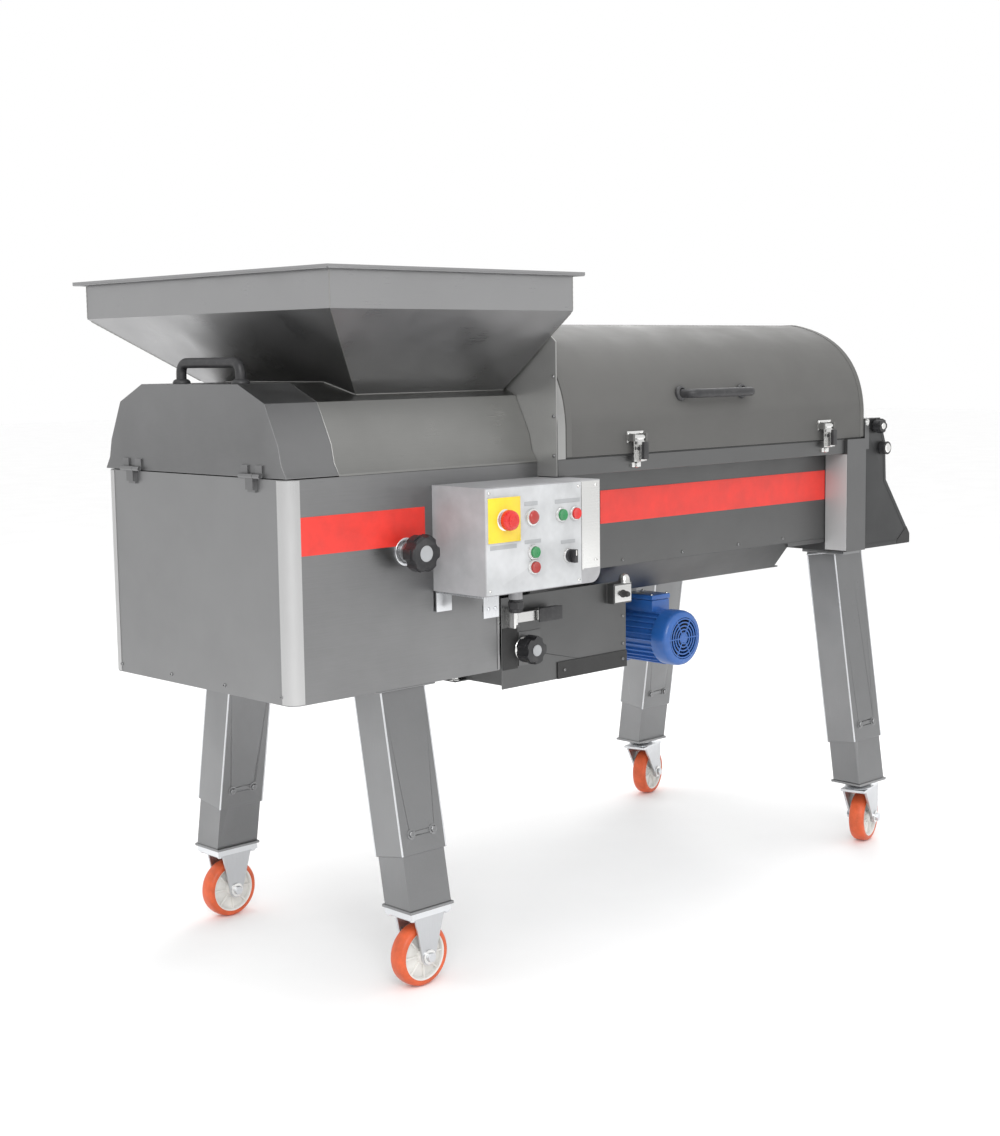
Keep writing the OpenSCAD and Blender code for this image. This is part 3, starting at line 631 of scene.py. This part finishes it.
# ---------------------------------------------------------------- casing, covers and hopper
def casing_details():
    c = MB()
    # rounded corner posts, a hair proud of the sheet, in a paler steel that paints the highlight on the rounded corner
    for s in (-1, 1):
        out, inn = [], []
        for r, lst in ((23.0, out), (20.5, inn)):
            lst.append((29.0, s * (278 + r)))
            for i in range(0, 9):
                t = math.pi / 2 * i / 8
                lst.append((22 - r * math.sin(t), s * (278 + r * math.cos(t))))
            lst.append((22 - r, s * 271.0))
        n = len(out)
        vs = [(x, y, 592.0) for x, y in out] + [(x, y, 1003.5) for x, y in out] + [(x, y, 592.0) for x, y in inn] + [(x, y, 1003.5) for x, y in inn]
        fs = []
        for i in range(n - 1):
            fs += [(i, i + 1, n + i + 1, n + i), (2 * n + i, 3 * n + i, 3 * n + i + 1, 2 * n + i + 1),
                   (i, 2 * n + i, 2 * n + i + 1, i + 1), (n + i, n + i + 1, 3 * n + i + 1, 3 * n + i)]
        fs += [(0, n, 3 * n, 2 * n), (n - 1, 3 * n - 1, 4 * n - 1, 2 * n - 1)]
        c.raw(vs, fs)
    c.obj("corner_posts", "corner", "base", "polished", smooth=40)
    b = MB()
    for s in (-1, 1):
        for x in (700, 900, 1100, 1300, 1470):
            b.button_screw((x, s * 300.2, 782), (0, s, 0), 3.4)
        for z in (1020, 1100, 1180):
            b.button_screw((640.8, s * 348, z), (-1, 0, 0), 3.4)
    for y in (-270, -90, 90, 270):
        b.button_screw((-0.2, y, 606), (-1, 0, 0), 3.4)
    b.obj("casing_screws", "panel", "base", "brushed", smooth=40)
    # seam cover strips between the panels
    p = MB()
    for s in (-1, 1):
        y0, y1 = (-301.6, -300.0) if s < 0 else (300.0, 301.6)
        p.box(520, 526, y0, y1, 592, 768, 0.5)
        y0, y1 = (-361.0, -357.0) if s < 0 else (357.0, 361.0)
    p.obj("seam_strips", "panel", "base", "brushed", smooth=40)
    # thin pale skin over the end frame's left-facing sides: painted light on the face the lamp falls on
    ef = MB()
    for s in (-1, 1):
        a, b2 = sorted((s * 302.4, s * 364.2))
        ef.box(1636.9, 1638.0, a, b2, 742, 976, 0.4)
    ef.obj("end_frame_painted_lit_face", "end_frame_lit_face", "base", "brushed", smooth=40)
    g = MB()
    g.tube([(668 + i * 19.6, -355.6, 1013.4) for i in range(54)], 1.5, 8)
    g.tube([(668 + i * 19.6, 350.0, 1013.4) for i in range(54)], 1.2, 8)
    g.tube([(8, y, 1006.4) for y in range(-280, 281, 20)], 1.2, 8)
    g.obj("cover_gaskets", "rubber", "base", "belt_rubber", smooth=60)
    # speed dial's scale ring and boss
    d = MB()
    d.lathe([(20.6, 0.2), (27.0, 0.2), (27.0, 2.0), (26.0, 2.8), (20.6, 2.8)], (280, -300.2, 853), (0, -1, 0), 48, closed=True)
    d.obj("speed_boss_flange", "zinc", "base", "zinc", smooth=40)
    k = MB()
    k.lathe([(0, 28.0), (15.0, 28.0), (15.6, 28.6), (15.0, 29.6), (0, 30.0)], (280, -332, 853), (0, -1, 0), 40)
    k.lathe([(0, 32.0), (12.0, 32.0), (12.6, 32.6), (12.0, 33.6), (0, 34.0)], (0, 0, 0), (0, 0, 1), 40) if False else None
    k.obj("speed_knob_cap", "label", "speed_dial", "black_plastic", smooth=40)


def hopper_details():
    m = MB()
    for s in (-1, 1):
        # weld beads down the sloping corners, and round the joint with the hood below
        m.bead((35.4, s * 395.0, 1305), (199.6, s * 246.8, 1180), 1.3)
        m.bead((644.2, s * 395.0, 1305), (630.9, s * 246.8, 1180), 1.3)
        m.bead((30.2, s * 399.6, 1311), (30.2, s * 399.6, 1376), 1.2)
        m.bead((644.8, s * 399.6, 1311), (644.8, s * 399.6, 1376), 1.2)
        m.bead((203.4, s * 160.5, 1177.0), (235.0, s * 215.0, 1153.0), 1.8)
        m.bead((630.4, s * 160.5, 1177.0), (628.2, s * 215.0, 1153.0), 1.8)
        m.bead((235.0, s * 215.0, 1153.2), (628.2, s * 215.0, 1153.2), 1.8)
    m.bead((202.6, -160.5, 1177.4), (202.6, 160.5, 1177.4), 1.8)
    m.obj("hopper_welds", "feed", "base", "brushed", smooth=60)
    r = MB()
    pts = [(11.5, -418.5), (658.5, -418.5), (658.5, 418.5), (11.5, 418.5), (11.5, -418.5)]
    for i in range(4):
        (xa, ya), (xb, yb) = pts[i], pts[i + 1]
        r.tube([(xa + (xb - xa) * k / 24, ya + (yb - ya) * k / 24, 1379.4) for k in range(25)], 2.2, 12)
    r.obj("hopper_rim_roll", "hopper", "base", "brushed", smooth=60)
    # folded corner tabs under the lip
    t = MB()
    for x, y in ((20, -409), (650, -409), (20, 409), (650, 409)):
        t.box(x - 6, x + 6, y - 6, y + 6, 1377.5, 1381.9, 0.8)
    t.obj("hopper_corner_tabs", "hopper", "base", "brushed", smooth=40)


def grip(path, r, name, body, slot, node):
    """A bent round bar through the path's points, its corners rounded."""
    pts = [Vector(q) for q in path]
    out = [pts[0]]
    for i in range(1, len(pts) - 1):
        a, b, c = pts[i - 1], pts[i], pts[i + 1]
        d0, d1 = (a - b).normalized(), (c - b).normalized()
        k = 22.0
        for j in range(9):
            t = j / 8.0
            out.append((1 - t) ** 2 * (b + d0 * k) + 2 * (1 - t) * t * b + t * t * (b + d1 * k))
    out.append(pts[-1])
    m = MB()
    m.tube(out, r, 28)
    m.obj(name, "black", body, slot, smooth=60, replaces=(node,))


def hood_details():
    grip([(1034, -348.2, 1137), (1034, -386, 1137), (1246, -386, 1137), (1246, -348.2, 1137)], 10.0, "hood_grip", "hood", "black_plastic", "hood_handle")
    grip([(40, -115.5, 1176.6), (40, -115.5, 1217), (40, 79.5, 1217), (40, 79.5, 1176.6)], 10.0, "end_grip", "end_lid", "black_plastic", "end_cover_handle")
    # rolled strip over the hood's two ends, following its curve
    P = [(-357.0, 1080.0), (-352.0, 1180.0), (-300.0, 1262.0), (-150.0, 1289.0)]
    prof, inner = [(-357.7, 1016.0)], [(-356.2, 1016.0)]
    for i in range(25):
        u = i / 24.0
        w = ((1 - u) ** 3, 3 * (1 - u) ** 2 * u, 3 * (1 - u) * u * u, u ** 3)
        y, z = sum(a * p[0] for a, p in zip(w, P)), sum(a * p[1] for a, p in zip(w, P))
        e = (3 * (1 - u) ** 2, 6 * (1 - u) * u, 3 * u * u)
        dy = sum(a * (P[k + 1][0] - P[k][0]) for k, a in enumerate(e))
        dz = sum(a * (P[k + 1][1] - P[k][1]) for k, a in enumerate(e))
        L = math.hypot(dy, dz)
        prof.append((y - dz / L * 0.9, z + dy / L * 0.9))
        inner.append((y + dz / L * 0.9, z - dy / L * 0.9))
    prof = prof + [(-y, z) for y, z in prof[::-1]]
    inner = inner + [(-y, z) for y, z in inner[::-1]]
    s = MB()
    for x0, x1 in ((668.4, 683.0), (1700.5, 1715.2)):
        n = len(prof)
        vs = [(x0, y, z) for y, z in prof] + [(x1, y, z) for y, z in prof] + [(x0, y, z) for y, z in inner] + [(x1, y, z) for y, z in inner]
        fs = []
        for i in range(n - 1):
            fs += [(i, i + 1, n + i + 1, n + i), (i, 2 * n + i, 2 * n + i + 1, i + 1), (n + i, n + i + 1, 3 * n + i + 1, 3 * n + i),
                   (2 * n + i, 3 * n + i, 3 * n + i + 1, 2 * n + i + 1)]
        fs += [(0, n, 3 * n, 2 * n), (n - 1, 3 * n - 1, 4 * n - 1, 2 * n - 1)]
        s.raw(vs, fs)
    s.obj("hood_end_strips", "hood", "hood", "brushed", 0.3, smooth=30)
    h = MB()
    for x in (1034, 1246):
        h.lathe([(11.2, 0), (16.0, 0.0), (17.0, 3.0), (15.0, 7.0), (11.2, 9.0)], (x, -348.6, 1137), (0, -0.99, 0.12), 32, closed=True)
    h.obj("hood_handle_feet", "black", "hood", "black_plastic", smooth=50)
    e = MB()
    for y in (-115.5, 79.5):
        e.lathe([(11.2, 0.1), (17.0, 0.1), (17.6, 3.0), (15.0, 7.0), (11.2, 9.0)], (40, y, 1177), (0, 0, 1), 32, closed=True)
    e.obj("end_handle_feet", "black", "end_lid", "black_plastic", smooth=50)
    for name, x in (("left", 875), ("right", 1550)):
        l = MB()
        l.box(x - 7.5, x + 7.5, -392, -384, 1003, 1040, 2.0)
        l.lathe([(0, -11.5), (4.2, -11.5), (4.2, 11.5), (0, 11.5)], (x, -379, 1026), (1, 0, 0), 24)
        l.obj("latch_lever_" + name, "black", "latch_" + name, "black_plastic", smooth=40)
        k = MB()
        k.box(x - 14, x + 14, -363.6, -357.1, 986, 996.5, 1.6)
        k.lathe([(0, 0), (6.5, 0), (6.5, 2.0), (5.0, 5.0), (0, 5.6)], (x, -363.4, 991), (0, -1, 0), 24)
        k.obj("latch_keeper_" + name, "bright", "base", "polished", smooth=40)
        f = MB()
        f.box(x - 26, x + 26, -360.4, -357.1, 1038, 1062, 1.2)
        for dx in (-21, 21):
            f.button_screw((x + dx, -360.4, 1057), (0, -1, 0), 3.2)
        f.obj("latch_plate_" + name, "bright", "hood", "polished", smooth=40)


# ---------------------------------------------------------------- controls
def controls():
    y = MB()
    y.box(352.2, 437.8, -455.0, -454.05, 871.2, 956.8, 0.3)
    y.obj("estop_plate", "yellow", "base", "panel_grey", 0.4)
    z = MB()
    for x, zz in ((551, 913), (590, 913), (474, 846), (474, 817), (572, 831)):
        z.lathe([(11.7, 0.0), (14.6, 0.0), (14.8, 3.2), (13.6, 5.4), (12.0, 6.2), (11.7, 6.2)], (x, -451.2, zz), (0, -1, 0), 48, closed=True)
    z.lathe([(14.2, 0.0), (17.0, 0.0), (17.2, 3.0), (16.0, 6.0), (14.2, 6.6)], (470, -451.2, 914), (0, -1, 0), 48, closed=True)
    z.lathe([(13.2, 0.0), (20.0, 0.0), (20.6, 1.6), (17.0, 3.8), (13.2, 4.4)], (395, -454.9, 914), (0, -1, 0), 48, closed=True)
    z.obj("button_bezels", "bright", "base", "polished", smooth=40)
    l = MB()
    l.lathe([(0, 7.4), (6.0, 7.2), (10.5, 5.6), (13.2, 2.0), (13.4, 0.0)][::-1], (470, -457.6, 914), (0, -1, 0), 48)
    l.obj("alarm_lamp_lens", "dark_red", "base", "red_plastic", smooth=60)
    for nm, bx, bz, mat in (("drum_start", 551, 913, "green"), ("drum_stop", 590, 913, "red"), ("crusher_start", 474, 846, "green"), ("crusher_stop", 474, 817, "dark_red")):
        k = MB()
        k.lathe([(10.9, -0.1), (10.9, 0.6), (10.0, 1.3), (8.6, 0.7), (0, 0.5)], (bx, -461.0, bz), (0, -1, 0), 40)
        k.obj("cap_" + nm, mat, nm, mat + "_plastic" if mat != "dark_red" else "red_plastic", smooth=40)
    e = MB()
    e.lathe([(0, 0.0), (9.0, 0.0), (12.5, 0.0), (13.5, -0.6)][::-1], (395, -482.2, 914), (0, -1, 0), 40)
    for k in range(3):
        t0 = 2 * math.pi / 3 * k
        e.tube([(395 + 7.4 * math.cos(t0 + a * 0.16), -482.4, 914 + 7.4 * math.sin(t0 + a * 0.16)) for a in range(9)], 0.8, 8)
    e.obj("estop_top_ring", "red", "estop", "red_plastic", smooth=50)
    s = MB()
    s.box(570.9, 573.1, -474.6, -473.4, 832, 842.5, 0.4)
    s.obj("selector_mark", "white", "selector", "black_plastic")
    t = MB()
    for x0, x1, z0, z1 in ((452, 488, 936, 944), (536, 606, 935, 943), (452, 496, 863, 870), (552, 592, 855, 862), (360, 430, 858, 866)):
        t.box(x0, x1, -451.7, -450.9, z0, z1, 0.25)
    t.obj("blank_labels", "label", "base", "panel_grey")
    c = MB()
    for x in (358, 602):
        for zz in (780, 966):
            c.button_screw((x, -451.0, zz), (0, -1, 0), 3.2)
    for zz in (815, 965):
        c.button_screw((655, -448.1, zz), (0, -1, 0), 3.6)
    c.obj("control_screws", "bright", "base", "polished", smooth=40)
    h = MB()
    h.box(614, 618, -449.6, -447.9, 798, 974, 0.6)
    h.box(618, 666.5, -448.9, -447.9, 800, 974, 0.4)
    h.obj("control_door_strip", "bright", "base", "polished", 0.2)
    g = MB()
    g.box(352, 392, -440, -436, 728, 769.9, 1.0)
    g.box(352, 392, -436, -304, 765.5, 769.9, 1.0)
    g.box(352, 392, -307, -303, 728, 769.9, 1.0)
    g.button_screw((364, -440, 745), (0, -1, 0), 4.0)
    g.button_screw((382, -440, 745), (0, -1, 0), 4.0)
    g.obj("box_bracket", "zinc", "base", "zinc", 0.4, smooth=40)
    r = MB()
    for x in (430, 500):
        r.lathe([(5.2, 718.2), (11.5, 718.2), (13.1, 722), (13.1, 726), (5.2, 726)], (x, -375, 0), (0, 0, 1), 36, closed=True)
        for k in range(24):
            a = 2 * math.pi * k / 24
            r.tube([(x + 13.2 * math.cos(a), -375 + 13.2 * math.sin(a), 719.5), (x + 13.2 * math.cos(a), -375 + 13.2 * math.sin(a), 725.2)], 0.7, 6)
    r.obj("gland_grips", "black", "base", "black_plastic", smooth=50)


# ---------------------------------------------------------------- crusher unit
def crusher():
    m = MB()
    R = 57.5
    fins = 28
    m.lathe([(0, 130), (R, 130), (R, 262), (0, 262)], (1101, 0, 586), (0, -1, 0), 84)
    for k in range(fins):
        a = 2 * math.pi * k / fins + 0.05
        if 1.15 < a < 1.99:
            continue
        q = Matrix.Translation(Vector((1101, -196, 586))) @ Matrix.Rotation(-a, 4, "Y") @ Matrix.Translation(Vector((R + 2.3, 0, 0)))
        bm = bmesh.new()
        bmesh.ops.create_cube(bm, size=1.0)
        for v in bm.verts:
            v.co = Vector((v.co.x * 8.0, v.co.y * 126, v.co.z * (2.2 if v.co.x > 0 else 3.4)))
        m._bm(bm, q)
    m.lathe([(0, 125.2), (69.0, 125.2), (70.0, 126.2), (70.0, 132.0), (66, 134), (0, 134)], (1101, 0, 586), (0, -1, 0), 84)
    m.lathe([(56, 258), (62.0, 258), (62.6, 262), (62.6, 290), (60.4, 298), (55, 302.6), (47, 303.4), (47, 301.2), (54, 300.4), (58.4, 296.6), (60.4, 290), (60.4, 262)],
            (1101, 0, 586), (0, -1, 0), 84, closed=True)
    for r0 in (12, 20, 28, 36, 44):
        m.lathe([(r0 - 1.6, 301.0), (r0 + 1.6, 301.0), (r0 + 1.6, 303.2), (r0 - 1.6, 303.2)], (1101, 0, 586), (0, -1, 0), 60, closed=True)
    for k in range(6):
        a = math.pi / 3 * k
        m.tube([(1101 + rr * math.cos(a), -302.0, 586 + rr * math.sin(a)) for rr in (9.0, 20, 34, 48.5)], 1.8, 8)
    m.lathe([(0, 299.6), (9.5, 299.6), (10.0, 303.2), (0, 303.6)], (1101, 0, 586), (0, -1, 0), 32)
    m.box(1071, 1131, -235, -150, 640, 668, 2.5)
    m.box(1069.5, 1132.5, -236.5, -148.5, 668.4, 680, 3.0)
    m.obj("crusher_motor_body", "blue", "crusher", "blue_paint", 0.4, smooth=40, replaces=("crusher_motor",))
    f = MB()
    for k in range(7):
        a = 2 * math.pi * k / 7
        q = Matrix.Translation(Vector((1101, -286, 586))) @ Matrix.Rotation(-a, 4, "Y") @ Matrix.Translation(Vector((31, 0, 0))) @ Matrix.Rotation(0.5, 4, "X")
        bm = bmesh.new()
        bmesh.ops.create_cube(bm, size=1.0)
        for v in bm.verts:
            v.co = Vector((v.co.x * 46, v.co.y * 12, v.co.z * 2.0))
        f._bm(bm, q)
    f.lathe([(0, 264), (14, 264), (14, 296), (0, 297)], (1101, 0, 586), (0, -1, 0), 32)
    f.obj("crusher_motor_fan", "black", "crusher", "black_plastic", smooth=40)
    b = MB()
    for x in (1075, 1127):
        for yy in (-229, -156):
            b.button_screw((x, yy, 680), (0, 0, 1), 3.0)
    for k in range(4):
        a = math.pi / 4 + math.pi / 2 * k
        b.hexbolt((1101 + 62 * math.cos(a), -134.2, 586 + 62 * math.sin(a)), (0, -1, 0), 4.5, 3.6, False)
    for k in range(6):
        a = math.pi / 3 * k
        for s, x in ((1, 1156.2), (-1, 1045.8)):
            b.hexbolt((x, -65 + 37 * math.cos(a), 636 + 37 * math.sin(a)), (s, 0, 0), 3.8, 3.0, False)
    for yy in (-160, 160):
        for x in (530, 904):
            b.hexbolt((x, yy, 552.2), (0, 0, 1), 7.5, 5.0)
    fs = MB()
    for z in (600, 660):
        fs.button_screw((896, -303.2, z), (0, -1, 0), 3.4)
    for x in (710, 892):
        fs.button_screw((x, -306.1, 567), (0, -1, 0), 3.4)
    fs.obj("apron_screws", "panel", "crusher", "brushed", smooth=40)
    b.obj("crusher_bolts", "bright", "crusher", "polished", smooth=40)
    g = MB()
    g.box(1060, 1142, -17.5, -11.0, 556, 680, 2.0)
    for z in (560, 600, 672):
        g.box(1046.8, 1155.2, -100, -30, z, z + 5, 1.2)
    g.lathe([(20, 0), (43.5, 0), (44.5, 1.0), (44.5, 3.0), (20, 4.5)], (1156.0, -65, 636), (1, 0, 0), 60, closed=True)
    g.lathe([(0, 0), (20.4, 0), (20.4, 2.6), (0, 3.2)], (1156.0, -65, 636), (1, 0, 0), 40)
    g.obj("gearbox_covers", "grey_enamel", "crusher", "grey_paint", 0.5, smooth=40)
    p = MB()
    # knob plate, a dark band of painted shade left of the knob plate, interlock dome and its small gland
    kp = MB()
    kp.box(577, 640, -304.6, -303.0, 592, 662, 0.6)
    kp.obj("knob_plate", "panel_r", "crusher", "brushed", smooth=40)
    p.lathe([(8.4, 0.0), (24.0, 0.0), (24.5, 1.2), (22.0, 4.0), (16.0, 6.0), (8.4, 6.4)], (590, -304.6, 627), (0, -1, 0), 48, closed=True)
    p.lathe([(0, 20), (4.5, 19.2), (9.0, 16.0), (12.0, 10.0), (12.8, 3.0), (13.4, 0), (16.0, 0.0), (16.0, -0.6)][::-1], (890, -313, 735.4), (0, 0, 1), 40)
    p.box(848, 900, -324.6, -323.0, 695, 732, 1.0)
    p.obj("crusher_fittings", "bright", "crusher", "polished", smooth=40)
    d = MB()
    # black box on the front: painted shade standing in for the gap left of the knob plate; the gland below it is real
    d.box(531, 574, -304.4, -303.0, 588, 674, 0.5)
    d.lathe([(0, 17), (5, 17), (6.5, 12), (6.5, 3), (8.5, 2), (8.5, 0)][::-1], (873, -324.6, 713), (0, -1, 0), 32)
    d.obj("crusher_painted_shadow_band_and_gland", "rubber", "crusher", "belt_rubber", smooth=40)
    k = MB()
    k.lathe([(0, 32.0), (11.5, 32.0), (12.0, 32.8), (11.0, 34.4), (0, 35.0)], (590, -312, 627), (0, -1, 0), 36)
    k.obj("gap_knob_cap", "label", "gap_knob", "black_plastic", smooth=40)
    c = MB()
    c.box(608, 676, -335.0, -330.8, 681.5, 710.5, 2.0)
    c.box(622, 674, -330.8, -316.5, 682.5, 709.5, 4.0)
    c.obj("clamp_grip", "black", "clamp", "black_plastic", 0.4, smooth=40)
    w = MB()
    w.lathe([(0, 0), (5.5, 0), (5.5, 2.2), (4.2, 3.4), (0, 3.6)], (550, -321, 714.4), (0, 0, 1), 24)
    w.box(540, 546, -329.5, -303, 676, 715.5, 1.0)
    w.obj("clamp_post", "bright", "crusher", "polished", smooth=40)


def chute():
    b = MB()
    for y in (-300, -100, 100, 300):
        b.hexbolt((1924.1, y, 751), (1, 0, 0), 4.4, 3.0)
    b.obj("chute_screws", "bright", "chute", "polished", smooth=40)
    # black rubber corner plates below the chute's two sides
    d = MB()
    for s in (-1, 1):
        y0, y1 = (-356.4, -355.0) if s < 0 else (355.0, 356.4)
        o2 = [(1868, 741), (1924.4, 741), (1924.4, 762.6), (1911, 781), (1868, 748)]
        n = len(o2)
        d.raw([(x, y0, z) for x, z in o2] + [(x, y1, z) for x, z in o2],
              [tuple(range(n)), tuple(range(2 * n - 1, n - 1, -1))] + [(i, (i + 1) % n, n + (i + 1) % n, n + i) for i in range(n)])
    d.obj("chute_corner_plates", "rubber", "chute", "belt_rubber", 0.3, smooth=30)
    f = MB()
    for s in (-1, 1):
        y0, y1 = (-355.7, -355.0) if s < 0 else (355.0, 355.7)
        out = [(1718, 742), (1718, 1050.5), (1726, 1058.5), (1789.2, 1058.5), (1811.6, 999.8), (1816.5, 904.6), (1923.4, 762.4), (1923.4, 742)]
        inn = [(1736, 751), (1736, 1040.5), (1740, 1049.5), (1783.0, 1049.5), (1802.8, 997.0), (1807.4, 901.4), (1914.4, 759.0), (1914.4, 751)]
        n = len(out)
        vs = [(x, y0, z) for x, z in out] + [(x, y1, z) for x, z in out] + [(x, y0, z) for x, z in inn] + [(x, y1, z) for x, z in inn]
        fs = []
        for i in range(n):
            j = (i + 1) % n
            fs += [(i, j, n + j, n + i), (i, 2 * n + i, 2 * n + j, j), (n + i, n + j, 3 * n + j, 3 * n + i), (2 * n + i, 3 * n + i, 3 * n + j, 2 * n + j)]
        f.raw(vs, fs)
    f.obj("chute_edge_folds", "panel_v", "chute", "brushed", 0.3, smooth=30)
    h = MB()
    for s in (-1, 1):
        h.lathe([(0, 0), (8.0, 0), (8.0, 1.2), (5.6, 1.4), (5.6, 3.2), (4.4, 4.2), (0, 4.6)], (1726, s * 360.9, 1050.5), (0, s, 0), 30)
    h.obj("chute_pin_heads", "bright", "base", "polished", smooth=40)
    k = MB()
    k.lathe([(0, 22.0), (7.5, 22.0), (8.0, 22.8), (7.0, 24.0), (0, 24.4)], (1770, -356, 1040), (0, -1, 0), 32)
    k.lathe([(0, 16.0), (10.5, 16.0), (11.5, 17.0), (9.0, 19.5), (0, 20.0)], (1798, -356, 985), (0, -1, 0), 32)
    k.obj("chute_knob_caps", "bright", "chute", "polished", smooth=40)


casing_details()
hopper_details()
hood_details()
controls()
crusher()
chute()


# ---------------------------------------------------------------- floor and light
def stage():
    bpy.ops.mesh.primitive_plane_add(size=60, location=(0, 0, 0))
    f = bpy.context.object
    f.name = "floor"
    m, nt, b = _nodes("pale_floor")
    co = _n(nt, "ShaderNodeTexCoord").outputs["Object"]
    c = _noise(nt, co, 3.0, (1, 1, 1), 4.0, 0.5)
    nt.links.new(_ramp(nt, c, [(0.3, (0.93, 0.93, 0.93)), (0.7, (0.96, 0.96, 0.96))]), b.inputs["Base Color"])
    b.inputs["Roughness"].default_value = 0.75
    b.inputs["Emission Color"].default_value = (1, 1, 1, 1)
    b.inputs["Emission Strength"].default_value = 0.04
    b.inputs["Specular IOR Level"].default_value = 0.2
    f.data.materials.append(m)
    w = bpy.data.worlds.new("studio")
    bpy.context.scene.world = w
    w.use_nodes = True
    wn = w.node_tree
    bg = wn.nodes["Background"]
    bg.inputs["Strength"].default_value = 1.0
    bg.inputs["Color"].default_value = (1, 1, 1, 1)

    def area(name, loc, target, size, power, size_y=None):
        l = bpy.data.lights.new(name, "AREA")
        l.energy = power
        l.size = size
        l.shape = "RECTANGLE" if size_y else "SQUARE"
        if size_y:
            l.size_y = size_y
        o = bpy.data.objects.new(name, l)
        o.location = loc
        d = Vector(target) - Vector(loc)
        o.rotation_euler = d.to_track_quat("-Z", "Y").to_euler()
        bpy.context.scene.collection.objects.link(o)

    area("key", (-3.2, -3.6, 3.4), (0, 0, 0.8), 2.6, 105)
    area("top", (0.1, 0.2, 4.6), (0, 0, 0.6), 2.6, 62, 1.9)
    area("rim", (3.6, 2.4, 3.0), (0, 0, 0.9), 2.4, 45)
    sc = bpy.context.scene
    sc.view_settings.view_transform = "Standard"
    sc.view_settings.look = "None"


stage()
